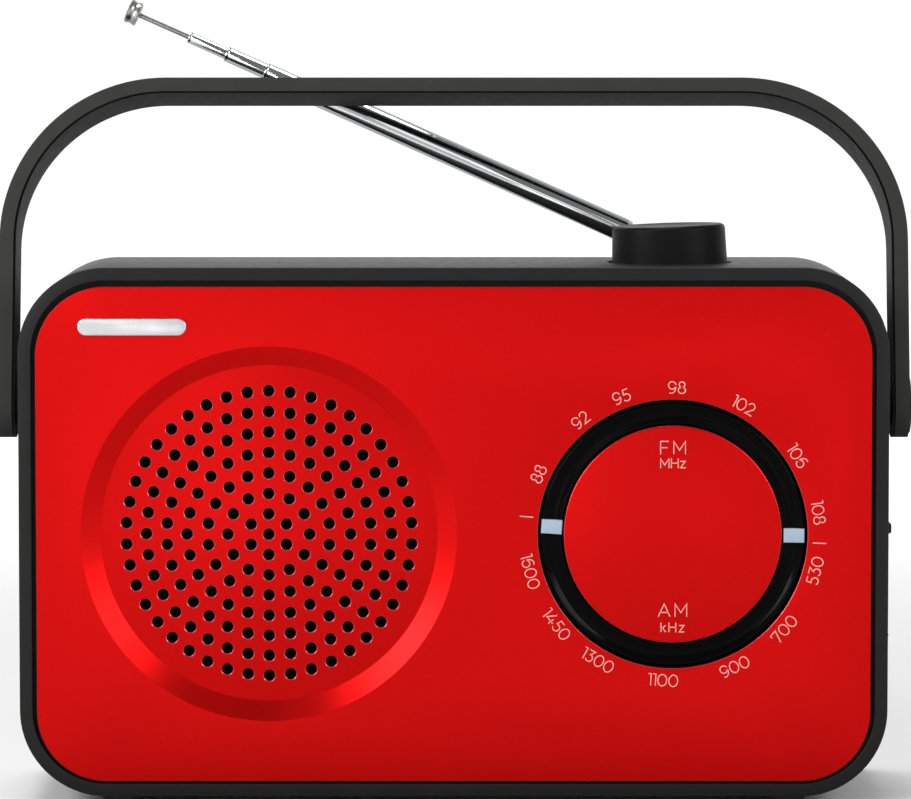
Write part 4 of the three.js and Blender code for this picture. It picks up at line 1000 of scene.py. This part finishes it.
def ring():
    """The dished ring, with its web, hub and gear."""
    inner = DISC_RADIUS + 0.4
    front = PANEL_FRONT_Y
    profile = [
        (4.15, -27.5), (inner, -27.5), (inner, front + 1.1),
        *[(inner + 0.3 - dx, front + 1.1 - dy) for dx, dy in arc((0, 0), 0.3, 0, 90, 3)],
        (inner + 1.2, front + 1.1), (33.3, front + 1.7), (34.6, front + 1.25),
        *[(RING_RADIUS - 0.5 + dx, front + 0.7 - dy) for dx, dy in arc((0, 0), 0.5, 110, 0, 5)],
        (RING_RADIUS, -25.5), (11, -25.5), (11, -21.5), (4.15, -21.5), (4.15, -27.5),
    ]
    return lathe("dial_ring", profile, DIAL_AXIS, 128, 40)


def pointer(name, degrees):
    """An inlay across the ring's whole width."""
    low, high = DISC_RADIUS + 0.5, RING_RADIUS - 0.1
    half = POINTER_WIDTH / 2
    obj = block(name + "_inlay", (low, PANEL_FRONT_Y - 0.1, -half), (high, PANEL_FRONT_Y + 2.5, half), 0.12)
    turn = Matrix.Rotation(-math.radians(degrees), 4, "Y")
    return transformed(obj, place(DISC.middle.x, 0, DISC.middle.z) @ turn)


def disc():
    """The fixed disc, with a bevel that catches the light."""
    front, back = DISC.low.y, DISC.high.y
    edge = 0.45
    profile = [
        (0, front),
        *[(DISC_RADIUS - edge + dx, front + edge - dy) for dx, dy in arc((0, 0), edge, 90, 0, 4)],
        (DISC_RADIUS, back), (0, back),
    ]
    return lathe("disc_face", profile, DIAL_AXIS, 128, 40)


# ---- knob, handle and antenna

def knob():
    """The volume knob, a little tapered, with a soft edge and a shallow dish in its top."""
    lean = Matrix.Rotation(-KNOB_LEAN, 4, "Y")
    matrix = place(CONTROL.middle.x, CONTROL.middle.y, BODY_TOP) @ lean
    low = -0.9
    edge = 1.3
    top = KNOB_RADIUS - 0.35
    profile = [
        (0, -10), (3, -10), (3, low), (KNOB_RADIUS - 0.3, low), (KNOB_RADIUS, low + 0.3),
        *arc((top - edge, KNOB_TOP - edge), edge, 0, 90, 8),
        (top - edge - 0.8, KNOB_TOP - 0.05), (top - 4, KNOB_TOP - 0.3), (top - 9, KNOB_TOP - 0.5),
        (0, KNOB_TOP - 0.55),
    ]
    return lathe("knob_cap", profile, matrix, 96, 40)


def handle_path():
    """Stations along the handle: centre in x and z, outward direction and half depth."""
    half = HANDLE_HALF_WIDTH - HANDLE_THICKNESS / 2
    top = HANDLE_REACH - HANDLE_THICKNESS / 2
    bend = HANDLE_CORNER - HANDLE_THICKNESS / 2
    depth = HANDLE_DEPTH / 2
    end = []
    for n in range(13):
        angle = math.pi / 2 * (1 - n / 12)
        z = -(depth - 0.05) * math.sin(angle)
        end.append((z, math.sqrt(depth ** 2 - z ** 2)))
    right = [((half, z), (1, 0), reach) for z, reach in end]
    right += [((half, (top - bend) * n / 4), (1, 0), depth) for n in range(1, 4)]
    for n in range(33):
        angle = math.pi / 2 * n / 32
        out = (math.cos(angle), math.sin(angle))
        right.append(((half - bend + bend * out[0], top - bend + bend * out[1]), out, depth))
    left = [((-x, z), (-u, v), reach) for (x, z), (u, v), reach in reversed(right)]
    return right + left


def carrying_handle():
    """A flat band swept round the hoop, with crisp edges and a fine groove along its inner front edge."""
    thick = HANDLE_THICKNESS / 2

    def section(depth):
        r = min(HANDLE_EDGE, depth * 0.6)
        corners = ((thick, depth, 0), (-thick, depth, 90), (-thick, -depth, 180), (thick, -depth, 270))
        loop = []
        for u, v, start in corners:
            loop += arc((u - math.copysign(r, u), v - math.copysign(r, v)), r, start, start + 90, 4)
        sunk = min(GROOVE_DEPTH, depth * 0.6)
        loop[5:10] = [(-thick + 0.75, depth), (-thick + 0.7, depth - sunk), (-thick + 0.2, depth - sunk),
                      (-thick + 0.15, depth - 0.1), (-thick, depth - 0.2)]
        return loop

    rings = []
    for (x, z), (u, v), depth in handle_path():
        rings.append([(x + a * u, -b, z + a * v) for a, b in section(depth)])
    lean = place(0, PIVOT.middle.y, PIVOT.middle.z) @ Matrix.Rotation(-HANDLE_LEAN, 4, "X")
    hoop = stacked("hoop", rings, matrix=lean)
    holes = cylinder("holes", HANDLE_BORE_RADIUS, -200, 200, HANDLE_AXIS, 40)
    return carved("carrying_handle", hoop, (), [holes], 30)


def handle_pivot(side):
    """A pivot pin with a soft domed cap."""
    out = HANDLE_HALF_WIDTH
    profile = [(0, 115), (3.5, 115), (3.5, out + 0.1), (7.6, out + 0.1), (8, out + 0.25), (7.6, out + 0.55),
               (6, out + 0.74), (3, out + 0.8), (0, out + 0.8)]
    if side < 0:
        profile = [(r, -x) for r, x in profile]
    name = "pivot_cap_right" if side > 0 else "pivot_cap_left"
    return lathe(name, profile, HANDLE_AXIS, 64)


def hub():
    """The antenna's slotted hub, with its stem under the cabinet's top."""
    matrix = place(WASHER.middle.x, WASHER.middle.y, BODY_TOP)
    edge = 0.8
    body = lathe("hub_body", [
        (0, -8), (3.4, -8), (3.4, -0.8), (HUB_RADIUS, -0.8),
        *arc((HUB_RADIUS - edge, HUB_TOP - edge), edge, 0, 90, 5), (0, HUB_TOP),
    ], matrix, 64)
    x, y = WASHER.middle.x, WASHER.middle.y
    slot = block("slot", (x - 20, y - 3, BODY_TOP + 0.5), (x + 20, y + 3, BODY_TOP + 20))
    bore = cylinder("bore", PIN_HOLE, y - 20, y + 20, place(x, 0, PIN.middle.z, ALONG_Y), 24)
    return carved("hub_body", body, (), [slot, bore])


def antenna_matrix():
    """The antenna's own frame: its pivot at the origin, its tubes along +Z."""
    way = TIP.middle - PIN.middle
    rise = math.atan2(way.z, -way.x)
    return place(*PIN.middle) @ Matrix.Rotation(-(math.pi / 2 - rise), 4, "Y")


def antenna_pieces():
    """The knuckle, six tubes with rolled ends, the rod and the waisted tip, with their bodies."""
    matrix = antenna_matrix()
    made = []
    pivot = matrix @ place(0, 0, 0, ALONG_Y)
    eye = lathe("eye", rod(3.2, -2.7, 2.7, 0.3), pivot, 48)
    neck = transformed(block("neck", (-2.2, -2.7, 0), (2.2, 2.7, 7.9), 0.2), matrix)
    plug = cylinder("plug", 2.9, 6, 12.5, matrix, 32)
    collar = lathe("collar", [(0, 6.4), (3.1, 6.4), (3.4, 6.8), (3.4, 7.9), (0, 7.9)], matrix, 48)
    hole = cylinder("hole", PIN_HOLE, -10, 10, pivot, 24)
    made.append((carved("knuckle", eye, [neck, plug, collar], [hole]), "antenna_arm", "antenna_knuckle"))
    for n, (radius, wall, start, end) in enumerate(TUBES, 1):
        inner = radius - wall
        lip = inner - 0.04
        profile = [
            (inner, start), (radius, start), (radius, end - 1.1), (radius - 0.12, end - 0.95),
            (radius - 0.12, end - 0.8), (radius, end - 0.65), (radius, end - 0.4), (radius - 0.12, end - 0.1),
            (lip, end), (lip, end - 0.2), (inner, end - 0.4), (inner, start),
        ]
        body = "antenna_arm" if n == 1 else f"antenna_section_{n}"
        made.append((lathe(f"tube_{n}", profile, matrix, 48, 50), body, f"antenna_tube_{n}"))
    whip = lathe("whip_rod", rod(ROD_RADIUS, ROD_START, ROD_END, 0.1), matrix, 24)
    made.append((whip, "antenna_whip", "antenna_rod"))
    low = ROD_END + 0.1
    span = TIP_END - low
    waist = [(TIP_RADIUS - 0.05 - 0.25 * math.sin(math.pi * n / 10), low + span * (0.3 + 0.42 * n / 10))
             for n in range(11)]
    profile = [(0, low), (TIP_RADIUS - 0.3, low), (TIP_RADIUS, low + 0.25), *waist,
               (TIP_RADIUS, TIP_END - 0.35), (TIP_RADIUS - 0.3, TIP_END), (0, TIP_END)]
    made.append((lathe("whip_tip", profile, matrix, 48, 40), "antenna_whip", "antenna_tip"))
    return made


# ---- batteries

def battery_cell(n):
    """A cell's jacket with its rolled ends, its steel bottom and its nub."""
    cell = Box(f"battery_cell_{n}")
    radius = cell.size.z / 2
    along = place(0, cell.middle.y, cell.middle.z, ALONG_X)
    start, end = cell.low.x, cell.high.x
    jacket = [
        (0, start + 0.4), (radius - 1.8, start + 0.4), (radius - 1.2, start + 0.1),
        (radius - 0.3, start + 0.3), (radius, start + 0.9), (radius, end - 2.5),
        (radius - 0.4, end - 1.8), (radius - 1.4, end - 1.7), (radius - 1.8, end - 2), (0, end - 2),
    ]
    nub = [
        (0, end - 2.2), (radius - 2.4, end - 2.2), (radius - 2.6, end - 1.9), (4.4, end - 1.8),
        (4, end - 1.5), (3.8, end - 0.3), (3.4, end), (0, end),
    ]
    return lathe(f"cell_{n}", jacket, along, 64), lathe(f"cell_cap_{n}", nub, along, 48)


# ---- putting it together

piece(front_shell(), "cabinet_black", "cabinet", "front_cabinet")
piece(rear_shell(), "cabinet_black", "cabinet", "rear_cabinet")
piece(front_panel(), "faceplate_red", "cabinet", "faceplate")
piece(badge(), "badge_silver", "cabinet", "badge_bar")
piece(battery_door(), "cabinet_black", "battery_cover", "battery_door")
for number in (1, 2, 3, 4):
    piece(rubber_foot(number), "foot_rubber", "cabinet", f"rubber_foot_{number}")
    piece(cabinet_screw(number), "bright_steel", "cabinet", f"cabinet_screw_{number}")
    jacket, cap = battery_cell(number)
    piece(jacket, "cell_jacket", "cabinet", f"battery_cell_{number}")
    piece(cap, "bright_steel", "cabinet")
socket, pins = inlet_socket()
piece(socket, "inlet_black", "cabinet", "mains_inlet")
piece(pins, "bright_steel", "cabinet")
piece(tone_wheel(), "cabinet_black", "tone_rotor", "tone_wheel")
piece(band_slider(), "cabinet_black", "band_control", "band_slider")
piece(earphone_socket(), "bright_steel", "cabinet", "earphone_jack")

scale_print, name_print = dial_scale()
piece(scale_print, "ink", "cabinet", slot="moulded_white")
piece(name_print, "ink", "cabinet", slot="moulded_white")
piece(ring(), "ring_gloss_black", "tuning_dial", "tuning_ring")
for node, degrees in POINTER_ANGLES.items():
    piece(pointer(node, degrees), "pointer_inlay", "tuning_dial", node)
piece(disc(), "faceplate_red", "cabinet", "dial_disc")

piece(knob(), "knob_black", "volume_rotor", "volume_knob", slot="cabinet_black")
piece(carrying_handle(), "handle_black", "handle", "handle", slot="cabinet_black")
piece(handle_pivot(1), "handle_black", "cabinet", "handle_pivot_right", slot="cabinet_black")
piece(handle_pivot(-1), "handle_black", "cabinet", "handle_pivot_left", slot="cabinet_black")
piece(hub(), "cabinet_black", "antenna_base", "antenna_hub")

# Nodes whose look isn't the one that their slot names
OTHER_LOOKS = {"antenna_rod": "dull_nickel", "antenna_tip": "dull_nickel",
               "speaker_basket": "basket_black", "band_switch": "basket_black"}
slots = {part["node"]: part["material_slot"] for part in frame["record"]["subparts"]}
for obj, body, node in antenna_pieces():
    piece(obj, OTHER_LOOKS.get(node, slots[node]), body, node, slot=slots[node])
for node, obj in frame["nodes"].items():
    if not obj.hide_render:
        dressed(obj, OTHER_LOOKS.get(node, slots[node]))


# ---- studio

FLOOR_RADIUS = 3000
FLOOR_FADE = (0.3, 1.3)  # metres from the middle between which the floor grows lighter
FLOOR_SHADES = (0.46, 0.85)
BACKDROP_RISE = (0.06, 0.2)  # height of the view above the horizon between which the backdrop darkens
BACKDROP_SHADES = (1.05, 0.35)
CAMERA_DISTANCE = 1400  # in front of the cabinet
CAMERA_RISE = 70  # above the cabinet's top
CAMERA_PITCH = 4.34  # degrees below level
CAMERA_LENS = 201.7


def stage_floor():
    """A plain pale floor, a little greyer round the radio."""
    floor = cylinder("floor", FLOOR_RADIUS, -40, 0, sides=128)
    look = Look("floor_pale", (0.46, 0.46, 0.46), 0.7)
    look.rough(look.noise(40, 3), 0.65, 0.75)
    look.specular(0.1)
    away = look.nodes.new("ShaderNodeVectorMath")
    away.operation = "LENGTH"
    look.links.new(look.coordinates, away.inputs[0])
    shade = mapped(look.material.node_tree, away.outputs["Value"], FLOOR_FADE, FLOOR_SHADES, "SMOOTHSTEP")
    look.links.new(shade, look.shader.inputs["Base Color"])
    floor.data.materials.append(look.material)


def softbox(name, place_mm, target_mm, size_mm, power):
    """A large soft area light."""
    light = bpy.data.lights.new(name, "AREA")
    light.shape = "RECTANGLE"
    light.size, light.size_y = (s * MM for s in size_mm)
    light.energy = power
    obj = linked(name, light)
    obj.location = Vector(place_mm) * MM
    way = (Vector(target_mm) - Vector(place_mm)).normalized()
    obj.rotation_mode = "QUATERNION"
    obj.rotation_quaternion = way.to_track_quat("-Z", "Y")
    obj.visible_camera = False


# Where each softbox stands, the point it faces, its width and height, and its watts
SOFTBOXES = {
    "front_left": ((-620, -420, 420), (-60, -30, 80), (400, 400), 7.6),
    "front_right": ((680, -420, 420), (60, -30, 80), (400, 400), 4.8),
    "top_left": ((-520, -1450, 620), (0, -30, 80), (600, 500), 1.6),
    "top_right": ((560, -1450, 620), (0, -30, 80), (600, 500), 1.1),
    "dome": ((-160, -1450, 400), (-53, -30, 100), (500, 180), 0.45),
    "sheen_left": ((-150, -832, 66), (-125, -30, 66), (150, 110), 0.13),
    "sheen_right": ((165, -832, 66), (140, -30, 66), (100, 110), 0.06),
    "back": ((0, 1400, 1250), (0, 1000, 0), (3000, 1900), 9),
    "low_back": ((0, 1500, 430), (0, 0, 120), (3000, 350), 6),
}


def studio():
    """A white backdrop, a soft key from above, and softboxes in front of the radio and behind it."""
    world = bpy.data.worlds.new("studio")
    bpy.context.scene.world = world
    world.use_nodes = True
    nodes, links = world.node_tree.nodes, world.node_tree.links
    height = nodes.new("ShaderNodeSeparateXYZ")
    links.new(nodes.new("ShaderNodeTexCoord").outputs["Generated"], height.inputs["Vector"])
    # The backdrop is white up to just above the horizon, and greyer overhead
    backdrop = mapped(world.node_tree, height.outputs["Z"], BACKDROP_RISE, BACKDROP_SHADES, "SMOOTHSTEP")
    background = nodes["Background"]
    background.inputs["Color"].default_value = (1, 1, 1, 1)
    links.new(backdrop, background.inputs["Strength"])
    key = bpy.data.lights.new("key", "SUN")
    key.energy = 2.7
    key.angle = math.radians(26)
    linked("key", key).rotation_euler = (math.radians(-10), math.radians(-6), 0)
    for name, values in SOFTBOXES.items():
        softbox(name, *values)
    bpy.context.scene.view_settings.view_transform = "Standard"


def camera():
    """A long lens a little above the top, looking slightly down."""
    data = bpy.data.cameras.new("camera")
    data.sensor_width = 36
    data.lens = CAMERA_LENS
    data.clip_start, data.clip_end = 0.05, 200
    obj = linked("camera", data)
    obj.location = Vector((0.5, FRONT_Y - CAMERA_DISTANCE, BODY_TOP + CAMERA_RISE)) * MM
    obj.rotation_euler = (math.radians(90 - CAMERA_PITCH), 0, 0)
    bpy.context.scene.camera = obj


stage_floor()
studio()
camera()
